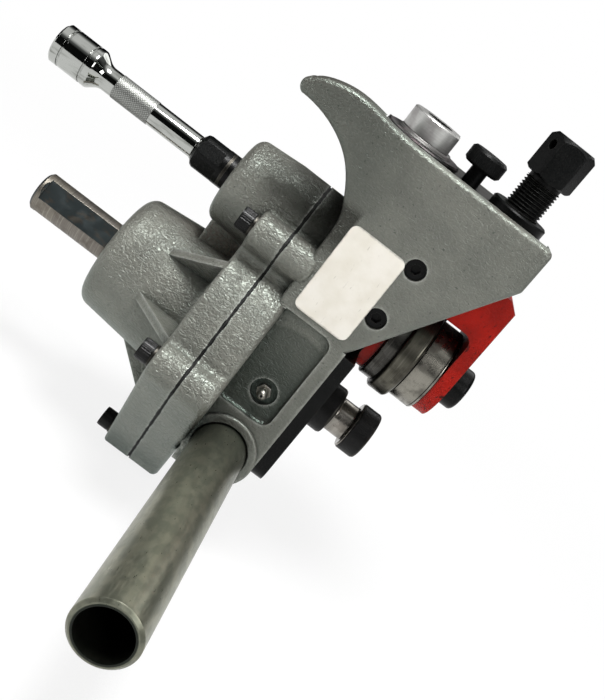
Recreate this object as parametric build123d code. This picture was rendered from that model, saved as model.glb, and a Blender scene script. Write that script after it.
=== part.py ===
"""Roll groover: a geared drive shaft with a roll land, and a groove roll fed down onto it by a screw.

Frame: X runs along the drive shaft toward the rolls, Z is up along the feed screw, and the
support arm lies on -Y. The origin is on the drive axis in the middle of the drive shank's grip.
All lengths are in millimetres.
"""
from build123d import *
import os
from math import acos, atan2, cos, hypot, pi, radians, sin, tan

MIN = Align.MIN
MID = Align.CENTER

# General fits
run_fit = 0.05          # radial clearance of a shaft in its bearing
seat_fit = 0.02         # radial clearance of pieces that are pressed or keyed together
slide_fit = 0.3         # gap between flat faces that slide past each other
overrun = 2.0           # how far a cutter reaches past the face that it opens

# Drive shaft, stations along X
shank_grip = 53.8
shank_radius = 12.7
shank_out = 55.8
shank_chamfer = 1.5
flat_depth = 2.1
flat_angles = (60, 180, 300)
flat_start = 2.0
flat_runout_radius = 7.0
front_journal_radius = 13.5
gear_seat_radius = 14.0
rear_journal_radius = 14.5
main_journal_radius = 15.5
land_radius = 15.7
land_edge = 1.2
inner_land_width = 13.0
outer_land_width = 13.5
neck_radius = 11.5
neck_width = 12.3
neck_fillet = 1.4
land_gap_to_plate = 0.4

# Case
boss_length = 62.6
cover_flange = 19.0
gasket_thickness = 1.0
gasket_inset = 0.8
case_depth = 20.5
boss_radius_front = 37.6
boss_radius_back = 44.4
boss_edge = 8.0
boss_foot = 3.0
boss_foot_radius = 4.0
flange_edge = 2.2
case_back_edge = 4.0
case_radius = 71.0
pinion_boss_radius_front = 27.3
pinion_boss_radius_back = 29.6
pinion_boss_length = 29.5
pinion_boss_edge = 6.5
upper_lug_radius = 11.0
upper_lug_y = 42.0
upper_lug_z = 74.0
mid_lug_radius = 12.5
mid_lug_y = 72.0
mid_lug_z = -10.0
low_lug_radius = 12.0
low_lug_z = -97.0
case_corner = 4.0
case_floor = 6.0
lug_root_shares = (0.5, 0.8)
web_root_share = 0.9
rib_thickness = 5.0
rib_reach = 27.5
rib_foot_radius = 69.0
rib_angles = (45, 90, 180, 270, 315)
web_half_width = 13.0
web_length = 24.0

# Gears
gear_module = 2.0
gear_teeth = 60
pinion_teeth = 19
gear_side_angle = 90
pressure_angle = 20.0
backlash = 0.35
flank_shares = (0, 0.35, 0.7, 1)
tooth_root_share = 1.25
tooth_depth_share = 2.25
gear_width = 13.0
pinion_width = 15.0
gear_tip_room = 2.5
gear_gap = 1.4
gear_hub_radius = 24.0
gear_web_depth = 2.5
gear_rim = 8.0
key_width = 8.0
key_height = 7.0
ring_thickness = 1.5
ring_height = 2.0

# Bearings and seals of the drive shaft
front_bearing_radius = 24.0
front_bearing_width = 24.0
front_bearing_inset = 11.5
rear_bearing_radius = 21.0
rear_bearing_width = 13.0
main_bearing_radius = 21.5
main_bearing_width = 30.0
seal_width = 7.0
seal_inset = 4.5
seal_radius = 18.0
shaft_tunnel_radius = 17.5

# Pinion shaft and extension bar
coupler_radius = 11.0
coupler_flats = 20.2
coupler_length = 25.5
coupler_nose = 3.5
coupler_gap = 1.0
coupler_groove_back = 3.2
coupler_groove_width = 1.8
coupler_groove_depth = 1.2
pinion_journal_radius = 8.5
pinion_bush_wall = 3.0
pinion_front_bush_length = 24.0
pinion_rear_bush_length = 8.0
pinion_seal_width = 6.0
pinion_seal_radius = 13.0
drive_square = 12.7
square_fit = 0.1
square_depth = 15.5
bar_length = 98.2
bar_shank_radius = 7.4
bar_socket_radius = 12.3
bar_socket_length = 25.7
bar_cone_length = 6.5
bar_shoulder_radius = 2.5
bar_foot_radius = 8.0
bar_rim_edge = 1.2
bar_knurl_start = 41.1
bar_knurl_length = 25.4
bar_knurl_rise = 0.25
bar_ring_width = 1.6
bar_ring_depth = 0.6
bar_ring_first = 5.7
bar_ring_second = 20.7
detent_ball_radius = 2.2

# Cover and plate fasteners
cover_screw_radius = 4.0
cover_screw_head_radius = 6.5
cover_screw_head_height = 8.0
cover_screw_grip = 11.0
washer_radius = 7.0
washer_thickness = 1.5
dowel_radius = 3.0
dowel_length = 26.0
dowel_y = 24.0
dowel_z = -76.0

# Roll head
head_width = 100.0
wall_thickness = 18.0
wall_foot_rise = 2.0
block_length = 41.5
head_back_length = 30.0
horn_root_setback = 6.0
horn_length = 58.8
horn_drop = 71.3
lip_over_plate = 3.8
lip_edge = 3.0
far_wall_drop = 4.5
nose_past_feed = 21.2
nose_height = 26.0
nose_corner = 3.5
horn_inner_shares = [(0.944, 0.198), (0.571, 0.254), (0.238, 0.439), (0.063, 0.663), (0, 1)]
horn_top_shares = [(-0.238, 0), (0.136, -0.018), (0.502, -0.046), (0.716, -0.022), (0.939, 0.063)]
horn_tip_share = (1, 0.133)
far_front_shares = [(0.567, 0.07), (0.83, 0.32)]
plate_thickness = 8.0
plate_ledge = 8.5
top_screw_radius = 2.0
top_screw_head_radius = 3.6
top_screw_head_height = 3.5
top_screw_length = 20.0
top_screw_edge = 4.5
top_screw_first = 6.0
plate_setback = 20.0
plate_end_gap = 3.0
head_core_width = 44.0
head_core_length = 12.0
head_core_depth = 60.0
arm_collar_rise = 2.5
arm_collar_edge = 1.2
pocket_depth = 4.0
pocket_floor_radius = 2.5
pocket_corner = 7.0
pocket_margin = 8.6
pocket_top = 51.0
pocket_low = -15.2

# Support arm
arm_radius = 16.7
arm_wall = 3.4
arm_reach = 191.5
arm_socket_depth = 28.0
arm_z = -42.0
arm_collar_radius = 22.5
arm_chamfer = 1.6
arm_thread_radius = 16.2
arm_thread_show = 1.5
arm_thread_fit = 0.2

# Front plate
front_plate_thickness = 7.8
front_plate_top = 48.0
front_plate_bottom = -46.0
front_plate_corner = 12.0
plate_screw_radius = 3.0
plate_screw_head_radius = 6.0
plate_screw_length = 22.0
plate_head_height = 5.0
socket_share = 0.48
front_screw_y = 38.0
front_screw_top_inset = 10.0
front_screw_low_inset = 34.0
shaft_hole_room = 0.6

# Grease fitting
grease_z = 1.6
grease_pocket_radius = 8.2
grease_pocket_depth = 6.5
grease_hex = 8.0
grease_hex_height = 3.0
grease_neck_radius = 2.3
grease_neck_height = 2.6
grease_ball_radius = 3.2
grease_thread_radius = 3.0
grease_thread_length = 7.0
grease_channel_radius = 1.8

# Slide with the groove roll
roll_axis_z = 60.0
housing_half_width = 25.0
housing_back_half_width = 27.5
housing_back_rise = 2.0
housing_bridge = 30.5
housing_room = 24.5
window_room = 3.5
window_corner = 6.0
housing_front_chamfer = 6.5
housing_front_chamfer_height = 5.0
left_leg_width = 6.8
right_leg_width = 8.6
gib_groove_width = 9.0
gib_groove_depth = 2.5
gib_width = 14.4
gib_setback = 11.6
gib_screw_radius = 3.0
gib_screw_head_radius = 5.6
gib_screw_head_height = 6.0
gib_counterbore_radius = 6.2
gib_counterbore_depth = 8.5
gib_screw_drop = 14.3
gib_screw_rise = 14.5

# Groove roll and its shaft
roll_side_gap = 0.4
roll_total_width = 37.2
ridge_radius = 31.0
ridge_width = 12.5
ridge_edge = 2.2
roll_land_drop = 3.6
roll_land_width = 8.6
steel_land_drop = 4.0
roll_step_drop = 1.2
roll_step_width = 1.0
roll_edge = 1.2
roll_bearing_radius = 13.5
roll_bearing_wall = 3.9
roll_shaft_head_radius = 13.5
roll_shaft_head_length = 11.7
roll_shaft_head_edge = 2.5

# Feed screw
feed_setback = 3.6
feed_thread_radius = 11.0
feed_hex = 26.0
feed_hex_rise = 27.5
feed_hex_height = 25.0
feed_hex_corner = 15.0
feed_hex_chamfer = 3.0
feed_hole_radius = 3.0
feed_hole_drop = 7.5
feed_hole_turn = -60
feed_neck_radius = 10.2
feed_neck_length = 2.5
feed_journal_radius = 8.0
feed_journal_length = 20.0
feed_groove_depth = 2.0
keeper_radius = 2.5
keeper_drop = 13.0
keeper_fit = 0.1
thrust_washer_thickness = 1.2
thrust_washer_radius = 14.0
nut_body_radius = 14.0
nut_flange_radius = 19.0
nut_flange_thickness = 4.0
nut_bottom_below_plate = 8.0
nut_ring_radius = 18.0
nut_ring_height = 6.0
nut_ring_chamfer = 1.0

# Depth gauge and depth screw
gauge_gap = 4.15
gauge_flange_radius = 24.5
gauge_flange_thickness = 3.2
gauge_hub_radius = 16.5
gauge_height = 17.0
gauge_facet = 14.0
gauge_flare = 2.0
gauge_edge = 0.8
gauge_pivot_radius = 5.0
gauge_pivot_head_radius = 8.5
gauge_pivot_head_height = 5.0
depth_screw_inset = 8.9
depth_stem_radius = 5.15
depth_knob_radius = 11.75
depth_knob_lift = 7.0
depth_knob_height = 10.0
depth_knob_flutes = 48
depth_knob_flute_radius = 0.5
depth_knob_edge = 1.5
depth_screw_reach = 27.0
depth_hole_room = 0.9

# Stations worked out from the sizes above
shank_start = -shank_grip / 2
boss_face = shank_start + shank_out
flange_face = boss_face + boss_length
cover_back = flange_face + cover_flange
frame_front = cover_back + gasket_thickness
case_back = frame_front + case_depth
block_front = case_back + block_length
plate_front = block_front + front_plate_thickness
inner_land_start = plate_front + land_gap_to_plate
neck_start = inner_land_start + inner_land_width
outer_land_start = neck_start + neck_width
shaft_end = outer_land_start + outer_land_width
pinion_axis_z = gear_module * (gear_teeth + pinion_teeth) / 2
gear_tip_radius = gear_module * (gear_teeth + 2) / 2
pinion_tip_radius = gear_module * (pinion_teeth + 2) / 2
gear_cavity_radius = gear_tip_radius + gear_tip_room
pinion_cavity_radius = pinion_tip_radius + gear_tip_room
cavity_front = flange_face + case_floor
gear_start = cavity_front + gear_gap
gear_end = gear_start + gear_width
pinion_start = gear_start - (pinion_width - gear_width) / 2
pinion_end = pinion_start + pinion_width
cavity_back = pinion_end + gear_gap
pinion_boss_face = flange_face - pinion_boss_length
coupler_end = pinion_boss_face - coupler_gap
coupler_start = coupler_end - coupler_length
pinion_rear_end = cavity_back + pinion_rear_bush_length
wall_outer = head_width / 2
wall_inner = wall_outer - wall_thickness
head_back = case_back + head_back_length
housing_back = head_back + slide_fit
left_leg_start = plate_front + slide_fit
roll_start = left_leg_start + left_leg_width + roll_side_gap
roll_end = roll_start + roll_total_width
right_leg_start = roll_end + roll_side_gap
housing_front = right_leg_start + right_leg_width
feed_axis_x = (roll_start + roll_end) / 2 - feed_setback
housing_back_bottom = roll_axis_z + housing_back_rise
window_ceiling = roll_axis_z + ridge_radius + window_room
housing_top = window_ceiling + housing_bridge
plate_bottom = housing_top + housing_room
plate_top = plate_bottom + plate_thickness
plate_left = case_back - plate_setback
plate_half_width = wall_inner + plate_ledge
lip_height = plate_top + lip_over_plate
wall_foot = front_plate_top + wall_foot_rise
nose_reach = feed_axis_x + nose_past_feed
nose_low = lip_height - nose_height
plate_right = nose_reach - plate_end_gap
gib_x = housing_back + gib_setback
gib_screw_high = housing_top - gib_screw_drop
gib_screw_low = housing_back_bottom + gib_screw_rise
feed_hex_bottom = plate_top + feed_hex_rise
feed_hex_top = feed_hex_bottom + feed_hex_height
depth_screw_x = housing_back + depth_screw_inset
gauge_axis_x = depth_screw_x - depth_stem_radius - gauge_gap - gauge_flange_radius
depth_knob_bottom = plate_top + slide_fit + gauge_flange_thickness + depth_knob_lift
depth_screw_bottom = housing_top - depth_screw_reach
arm_x = block_front - arm_collar_radius
horn_root_x = case_back - horn_root_setback
arm_bore_radius = arm_radius - arm_wall
seal_start = boss_face + seal_inset
front_bearing_start = boss_face + front_bearing_inset
main_bearing_start = block_front - main_bearing_width
pinion_bush_radius = pinion_journal_radius + pinion_bush_wall
pinion_seal_end = pinion_boss_face + pinion_seal_width + slide_fit
pinion_bush_start = pinion_seal_end + overrun / 2
grease_seat = -wall_outer + grease_pocket_depth
gib_bottom = housing_back_bottom
front_screw_places = [(side * front_screw_y, z) for side in (-1, 1)
                      for z in (front_plate_top - front_screw_top_inset, front_plate_bottom + front_screw_low_inset)]
top_screw_places = [(x, side * (plate_half_width - top_screw_edge)) for side in (-1, 1)
                    for x in (plate_left + top_screw_first, plate_right - top_screw_first)]
keeper_offset = feed_journal_radius - feed_groove_depth + keeper_radius + keeper_fit
keeper_places = (feed_axis_x - keeper_offset, feed_axis_x + keeper_offset)
lug_places = [
    (-upper_lug_y, upper_lug_z), (upper_lug_y, upper_lug_z),
    (-mid_lug_y, mid_lug_z), (mid_lug_y, mid_lug_z), (0, low_lug_z),
]
roll_shaft_radius = roll_bearing_radius - roll_bearing_wall - run_fit
roll_land_radius = ridge_radius - roll_land_drop
steel_land_radius = ridge_radius - steel_land_drop
roll_step_radius = steel_land_radius - roll_step_drop


def rod_x(radius, start, end, y=0, z=0):
    """A cylinder along X between two stations."""
    return Pos(start, y, z) * Rot(0, 90, 0) * Cylinder(radius, end - start, align=(MID, MID, MIN))


def rod_y(radius, start, end, x=0, z=0):
    """A cylinder along Y between two stations."""
    return Pos(x, start, z) * Rot(-90, 0, 0) * Cylinder(radius, end - start, align=(MID, MID, MIN))


def rod_z(radius, start, end, x=0, y=0):
    """A cylinder along Z between two heights."""
    return Pos(x, y, start) * Cylinder(radius, end - start, align=(MID, MID, MIN))


def ring_x(outer, inner, start, end, z=0):
    """A plain ring along X."""
    return rod_x(outer, start, end, 0, z) - rod_x(inner, start - overrun, end + overrun, 0, z)


def block(x0, x1, y0, y1, z0, z1):
    """A box given by its faces."""
    return Pos(x0, y0, z0) * Box(x1 - x0, y1 - y0, z1 - z0, align=(MIN, MIN, MIN))


def turned_x(points, z=0):
    """A solid turned about an axis along X from points of station and radius."""
    outline = Polyline(*[(x, 0, r) for x, r in points], close=True)
    return Pos(0, 0, z) * revolve(make_face(outline), Axis.X)


def turned_z(points, x=0):
    """A solid turned about an axis along Z from points of radius and height."""
    outline = Polyline(*[(r, 0, z) for r, z in points], close=True)
    return Pos(x, 0, 0) * revolve(make_face(outline), Axis.Z)


def plate_yz(shape, start, end):
    """An outline in Y and Z given thickness along X."""
    return extrude(Plane.YZ.offset(start) * shape, end - start)


def plate_xz(shape, start, end):
    """An outline in X and Z given thickness along Y."""
    return extrude(Plane.XZ.offset(-end) * shape, end - start)


def linked_circles(a, radius_a, b, radius_b):
    """Two circles joined by their outer tangents."""
    along_x = b[0] - a[0]
    along_y = b[1] - a[1]
    base = atan2(along_y, along_x)
    turn = acos((radius_a - radius_b) / hypot(along_x, along_y))
    corners = []
    for centre, radius, side in ((a, radius_a, 1), (b, radius_b, 1), (b, radius_b, -1), (a, radius_a, -1)):
        angle = base + side * turn
        corners.append((centre[0] + radius * cos(angle), centre[1] + radius * sin(angle)))
    body = make_face(Polyline(*corners, close=True))
    return body + Pos(*a) * Circle(radius_a) + Pos(*b) * Circle(radius_b)


def save(name, *solids):
    """Write one node, as a single solid or as a group of separate ones."""
    flat = []
    for solid in solids:
        flat.extend(solid.solids())
    shape = flat[0] if len(flat) == 1 else Compound(children=flat)
    shape.label = name
    export_step(shape, os.path.join("parts", name + ".step"))


def involute_outline(teeth, first_angle):
    """The outline of a spur gear with true involute flanks, one tooth centred on first_angle."""
    pitch_radius = gear_module * teeth / 2
    base_radius = pitch_radius * cos(radians(pressure_angle))
    tip_radius = pitch_radius + gear_module
    root_radius = pitch_radius - tooth_root_share * gear_module
    flank_start = max(base_radius, root_radius)
    inv_pitch = tan(radians(pressure_angle)) - radians(pressure_angle)
    half_tooth = pi / (2 * teeth) - backlash / (2 * pitch_radius)
    flank = []
    for share in flank_shares:
        radius = flank_start + share * (tip_radius - flank_start)
        angle = acos(base_radius / radius)
        flank.append((radius, half_tooth + inv_pitch - (tan(angle) - angle)))
    if root_radius < flank_start:
        flank.insert(0, (root_radius, flank[0][1]))
    points = []
    for tooth in range(teeth):
        centre = radians(first_angle) + 2 * pi * tooth / teeth
        for radius, half in flank:
            points.append((radius * cos(centre - half), radius * sin(centre - half)))
        for radius, half in reversed(flank):
            points.append((radius * cos(centre + half), radius * sin(centre + half)))
    return make_face(Polyline(*points, close=True))


def case_outline(inset=0):
    """The outline of the gear case in Y and Z, with its five bolt lugs."""
    low = (0, low_lug_z)
    shape = Circle(case_radius - inset) + Pos(0, pinion_axis_z) * Circle(pinion_boss_radius_back - inset)
    for side in (-1, 1):
        mid = (side * mid_lug_y, mid_lug_z)
        upper = (side * upper_lug_y, upper_lug_z)
        root = (upper[0] * lug_root_shares[0], upper[1] * lug_root_shares[1])
        shape += linked_circles(mid, mid_lug_radius - inset, low, low_lug_radius - inset)
        shape += linked_circles(upper, upper_lug_radius - inset, root, upper_lug_radius - inset)
    shape += make_face(Polyline((-mid_lug_y, mid_lug_z), (mid_lug_y, mid_lug_z), low, close=True))
    hollows = [v for v in shape.vertices() if v.Y > mid_lug_z]
    return fillet(hollows, case_corner)


def cavity(start, end):
    """The space for both gears between two stations."""
    space = rod_x(gear_cavity_radius, start, end)
    return space + rod_x(pinion_cavity_radius, start, end, 0, pinion_axis_z)


def at_lugs(radius, start, end):
    """One cylinder along X at each of the five bolt lugs."""
    return [rod_x(radius, start, end, y, z) for y, z in lug_places]


def at_dowels(radius, start, end):
    """One cylinder along X at each of the two dowels."""
    return [rod_x(radius, start, end, side * dowel_y, dowel_z) for side in (-1, 1)]


def drive_shaft():
    """Shaft in one piece with both roll lands, and three flats on the shank for the power drive."""
    journal_start = seal_start + seal_width
    steps = [
        (shank_start, 0), (shank_start, shank_radius - shank_chamfer),
        (shank_start + shank_chamfer, shank_radius), (journal_start, shank_radius),
        (journal_start, front_journal_radius), (gear_start, front_journal_radius),
        (gear_start, gear_seat_radius), (cavity_back, gear_seat_radius),
        (cavity_back, rear_journal_radius), (main_bearing_start, rear_journal_radius),
        (main_bearing_start, main_journal_radius), (inner_land_start, main_journal_radius),
        (inner_land_start, land_radius), (neck_start, land_radius),
        (neck_start, neck_radius), (outer_land_start, neck_radius),
        (outer_land_start, land_radius), (shaft_end, land_radius), (shaft_end, 0),
    ]
    shaft = turned_x(steps)
    for station in (neck_start, outer_land_start, shaft_end):
        shaft = round_rim_x(shaft, land_edge, station, land_radius)
    for station in (neck_start, outer_land_start):
        shaft = round_rim_x(shaft, neck_fillet, station, neck_radius)
    level = shank_radius - flat_depth
    flat_end = boss_face + shaft_hole_room
    cutter = block(shank_start + flat_start + flat_depth, flat_end, -shank_radius, shank_radius,
                   level, shank_radius + overrun)
    runout = rod_y(flat_runout_radius, -shank_radius, shank_radius,
                   shank_start + flat_start + flat_depth + flat_runout_radius / 2, level + flat_runout_radius)
    for angle in flat_angles:
        shaft -= Rot(angle, 0, 0) * (cutter + runout)
    shaft -= key_blank(0)
    groove_start = gear_start - ring_thickness - run_fit
    groove = ring_x(front_journal_radius + overrun, front_journal_radius - ring_height / 2,
                    groove_start, groove_start + ring_thickness)
    return shaft - groove


def round_rim_x(solid, radius, station, rim):
    """Round the circular edge of one radius at one station along X."""
    edges = [e for e in solid.edges().filter_by(GeomType.CIRCLE)
             if abs(e.center().X - station) < run_fit and abs(e.radius - rim) < run_fit]
    return fillet(edges, radius)


def key_blank(room):
    """The key between the shaft and the gear."""
    return block(gear_start, gear_end, -key_width / 2 - room, key_width / 2 + room,
                 gear_seat_radius - key_height / 2, gear_seat_radius + key_height / 2 + room)


def drive_gear():
    """Spur gear on the drive shaft, thinned between its rim and hub."""
    gear = plate_yz(involute_outline(gear_teeth, 0), gear_start, gear_end)
    rim_inner = gear_tip_radius - tooth_depth_share * gear_module - gear_rim
    for start, end in ((gear_start - overrun, gear_start + gear_web_depth),
                       (gear_end - gear_web_depth, gear_end + overrun)):
        gear -= ring_x(rim_inner, gear_hub_radius, start, end)
    gear -= rod_x(gear_seat_radius + seat_fit, gear_start - overrun, gear_end + overrun)
    return gear - key_blank(seat_fit)


def gear_ring():
    """Retaining ring that keeps the gear against its shoulder, open where it is sprung on."""
    end = gear_start - run_fit
    start = end - ring_thickness
    ring = ring_x(front_journal_radius + ring_height, front_journal_radius - ring_height / 2 + seat_fit, start, end)
    return ring - block(start - overrun, end + overrun, -ring_height, ring_height, -2 * front_journal_radius, 0)


def pinion_shaft():
    """Pinion with its teeth, two journals and the hexagonal coupler with a square socket."""
    gap = 360 / (2 * pinion_teeth)
    shaft = plate_yz(involute_outline(pinion_teeth, gap - gear_side_angle), pinion_start, pinion_end)
    shaft += rod_x(pinion_journal_radius, coupler_end - overrun, pinion_rear_end)
    head = turned_x([
        (coupler_start, 0), (coupler_start, coupler_radius - coupler_nose),
        (coupler_start + coupler_nose / 2, coupler_radius - coupler_nose / 4),
        (coupler_start + coupler_nose, coupler_radius), (coupler_end, coupler_radius), (coupler_end, 0),
    ])
    groove_end = coupler_end - coupler_groove_back
    hexagon = plate_yz(RegularPolygon(coupler_flats / 2, 6, major_radius=False),
                       coupler_start, groove_end - coupler_groove_width - coupler_groove_back)
    collar = rod_x(coupler_radius, groove_end - coupler_groove_width - coupler_groove_back, coupler_end)
    head = head & (hexagon + collar)
    head -= ring_x(coupler_radius + overrun, coupler_radius - coupler_groove_depth,
                   groove_end - coupler_groove_width, groove_end)
    side = drive_square / 2 + square_fit
    head -= block(coupler_start - overrun, coupler_start + square_depth, -side, side, -side, side)
    return Pos(0, 0, pinion_axis_z) * (shaft + head)


def coupler_ring():
    """Spring ring in the groove of the coupler."""
    end = coupler_end - coupler_groove_back - seat_fit
    start = end - coupler_groove_width + 2 * seat_fit
    inner = coupler_radius - coupler_groove_depth + seat_fit
    return ring_x(coupler_radius, inner, start, end, pinion_axis_z)


def extension_bar():
    """Socket extension in the pinion's coupler, with a square at each end."""
    start = coupler_start - bar_length
    cone_start = start + bar_socket_length
    shank_start_x = cone_start + bar_cone_length
    knurl = start + bar_knurl_start
    edge = bar_ring_depth
    points = [
        (start, 0), (start, bar_socket_radius - bar_rim_edge), (start + bar_rim_edge, bar_socket_radius),
        (cone_start, bar_socket_radius), (shank_start_x, bar_shank_radius),
        (knurl, bar_shank_radius), (knurl, bar_shank_radius + bar_knurl_rise),
        (knurl + bar_knurl_length, bar_shank_radius + bar_knurl_rise),
        (knurl + bar_knurl_length, bar_shank_radius), (coupler_start - edge, bar_shank_radius),
        (coupler_start, bar_shank_radius - edge), (coupler_start, 0),
    ]
    bar = turned_x(points)
    bar = round_rim_x(bar, bar_shoulder_radius, cone_start, bar_socket_radius)
    bar = round_rim_x(bar, bar_foot_radius, shank_start_x, bar_shank_radius)
    for offset in (bar_ring_first, bar_ring_second):
        bar -= ring_x(bar_socket_radius + overrun, bar_socket_radius - bar_ring_depth,
                      start + offset, start + offset + bar_ring_width)
    half = drive_square / 2
    bar += block(coupler_start, coupler_start + square_depth - run_fit, -half, half, -half, half)
    side = half + square_fit
    bar -= block(start - overrun, start + square_depth, -side, side, -side, side)
    bar -= Pos(coupler_start + square_depth / 2, 0, half - detent_ball_radius) * Sphere(detent_ball_radius + seat_fit)
    return Pos(0, 0, pinion_axis_z) * bar


def bar_detent_ball():
    """Ball in the square of the extension bar."""
    height = pinion_axis_z + drive_square / 2 - detent_ball_radius
    return Pos(coupler_start + square_depth / 2, 0, height) * Sphere(detent_ball_radius)


def gear_cover():
    """Front half of the gear case, with the drive boss, the pinion boss and five ribs."""
    cover = plate_yz(case_outline(), flange_face, cover_back)
    cover = fillet(cover.faces().sort_by(Axis.X)[0].edges(), flange_edge)
    boss = turned_x([(boss_face, 0), (boss_face, boss_radius_front), (flange_face, boss_radius_back),
                     (flange_face + boss_foot, boss_radius_back), (flange_face + boss_foot, 0)])
    boss = round_rim_x(boss, boss_edge, boss_face, boss_radius_front)
    cover = round_rim_x(cover + boss, boss_foot_radius, flange_face, boss_radius_back)
    upper = turned_x([(pinion_boss_face, 0), (pinion_boss_face, pinion_boss_radius_front),
                      (flange_face, pinion_boss_radius_back), (flange_face + boss_foot, pinion_boss_radius_back),
                      (flange_face + boss_foot, 0)], pinion_axis_z)
    upper = round_rim_x(upper, pinion_boss_edge, pinion_boss_face, pinion_boss_radius_front)
    cover += upper
    web = block(flange_face - web_length, flange_face, -web_half_width, web_half_width,
                boss_radius_front * web_root_share, pinion_axis_z - pinion_boss_radius_front * web_root_share)
    cover += web
    start = flange_face - rib_reach - boss_foot
    inner = boss_radius_front - boss_foot
    rib = plate_xz(make_face(Polyline((start, inner), (start, boss_radius_at(start)),
                                      (flange_face, rib_foot_radius), (flange_face + boss_foot, rib_foot_radius),
                                      (flange_face + boss_foot, inner), close=True)),
                   -rib_thickness / 2, rib_thickness / 2)
    for angle in rib_angles:
        cover += Rot(angle, 0, 0) * rib
    cover -= cavity(cavity_front, cover_back + overrun)
    cover -= rod_x(shank_radius + shaft_hole_room, boss_face - overrun, seal_start)
    cover -= rod_x(seal_radius + seat_fit, seal_start, front_bearing_start)
    cover -= rod_x(front_bearing_radius + seat_fit, front_bearing_start, front_bearing_start + front_bearing_width)
    cover -= rod_x(front_bearing_radius + seat_fit, front_bearing_start, cavity_front + overrun)
    z = pinion_axis_z
    cover -= rod_x(pinion_journal_radius + shaft_hole_room, pinion_boss_face - overrun, cavity_front, 0, z)
    cover -= rod_x(pinion_seal_radius + seat_fit, pinion_boss_face - overrun, pinion_seal_end, 0, z)
    cover -= rod_x(pinion_bush_radius + seat_fit, pinion_bush_start, cavity_front + overrun, 0, z)
    for hole in at_lugs(cover_screw_radius + slide_fit, flange_face - overrun, cover_back + overrun):
        cover -= hole
    for hole in at_dowels(dowel_radius + seat_fit, cover_back - dowel_length / 2, cover_back + overrun):
        cover -= hole
    return cover


def boss_radius_at(station):
    """The radius of the tapered drive boss at a station."""
    share = (station - boss_face) / boss_length
    return boss_radius_front + share * (boss_radius_back - boss_radius_front)


def cover_gasket():
    """Thin gasket between the cover and the frame."""
    gasket = plate_yz(case_outline(gasket_inset), cover_back, frame_front)
    gasket -= cavity(cover_back - overrun, frame_front + overrun)
    for hole in at_lugs(cover_screw_radius + slide_fit, cover_back - overrun, frame_front + overrun):
        gasket -= hole
    for hole in at_dowels(dowel_radius + slide_fit, cover_back - overrun, frame_front + overrun):
        gasket -= hole
    return gasket


def socket_screw_x(head_end, length, radius, head_radius, head_height, y, z):
    """Socket head cap screw along +X with its seat at head_end."""
    start = head_end - head_height
    screw = rod_x(head_radius, start, head_end, y, z) + rod_x(radius, head_end, head_end + length, y, z)
    hexagon = Pos(y, z) * RegularPolygon(head_radius * socket_share, 6, major_radius=False)
    return screw - plate_yz(hexagon, start - overrun, start + head_height / 2)


def cover_screws():
    """Five cap screws through the cover into the frame."""
    seat = flange_face - washer_thickness
    length = frame_front + cover_screw_grip - seat
    return [socket_screw_x(seat, length, cover_screw_radius, cover_screw_head_radius,
                           cover_screw_head_height, y, z) for y, z in lug_places]


def cover_washers():
    """One washer under each cover screw."""
    start = flange_face - washer_thickness
    outer = at_lugs(washer_radius, start, flange_face)
    inner = at_lugs(cover_screw_radius + run_fit, start - overrun, flange_face + overrun)
    return [a - b for a, b in zip(outer, inner)]


def at_horn(run_share, drop_share):
    """A point of the horn from shares of its length and of its drop below the lip."""
    return (horn_root_x - run_share * horn_length, lip_height - drop_share * horn_drop)


def head_side():
    """The side of the roll head in X and Z: horn, top lip, nose and the slope above the rolls."""
    inner = [at_horn(*pair) for pair in horn_inner_shares]
    top = [at_horn(*pair) for pair in horn_top_shares]
    tip = at_horn(*horn_tip_share)
    nose = (nose_reach, lip_height)
    edges = [
        Spline(*inner, tangents=[(1, 0), (0, -1)]),
        Line(inner[-1], (horn_root_x, wall_foot)),
        Line((horn_root_x, wall_foot), (block_front, wall_foot)),
        Line((block_front, wall_foot), (nose_reach, nose_low)),
        Line((nose_reach, nose_low), nose),
        Line(nose, top[0]),
        Spline(*top, tangents=[(-1, 0), (-1, -1)]),
        ThreePointArc(top[-1], tip, inner[0]),
    ]
    shape = make_face(Wire(edges))
    corners = [v for v in shape.vertices() if v.X > nose_reach - run_fit]
    return fillet(corners, nose_corner)


def far_side(side):
    """The far wall: no horn, a lower top and a fuller front edge than the near wall."""
    run = nose_reach - block_front
    rise = nose_low - wall_foot
    bulge = [(block_front + a * run, wall_foot + b * rise) for a, b in far_front_shares]
    front = make_face(Polyline((block_front, wall_foot), *bulge, (nose_reach, nose_low + nose_corner),
                               (block_front, nose_low), close=True))
    band = Pos(plate_left, wall_foot) * Rectangle(nose_reach - plate_left, lip_height - far_wall_drop - wall_foot,
                                                  align=(MIN, MIN))
    return (side + front) & band


def lower_block():
    """The block below the head in X and Z, rounded about the support arm."""
    height = wall_foot - arm_z
    shape = Pos(case_back, arm_z) * Rectangle(block_length, height, align=(MIN, MIN))
    shape += Pos(arm_x, arm_z) * Circle(arm_collar_radius)
    return shape + Pos(case_back, arm_z - arm_collar_radius) * Rectangle(
        arm_x - case_back, arm_collar_radius, align=(MIN, MIN))


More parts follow.
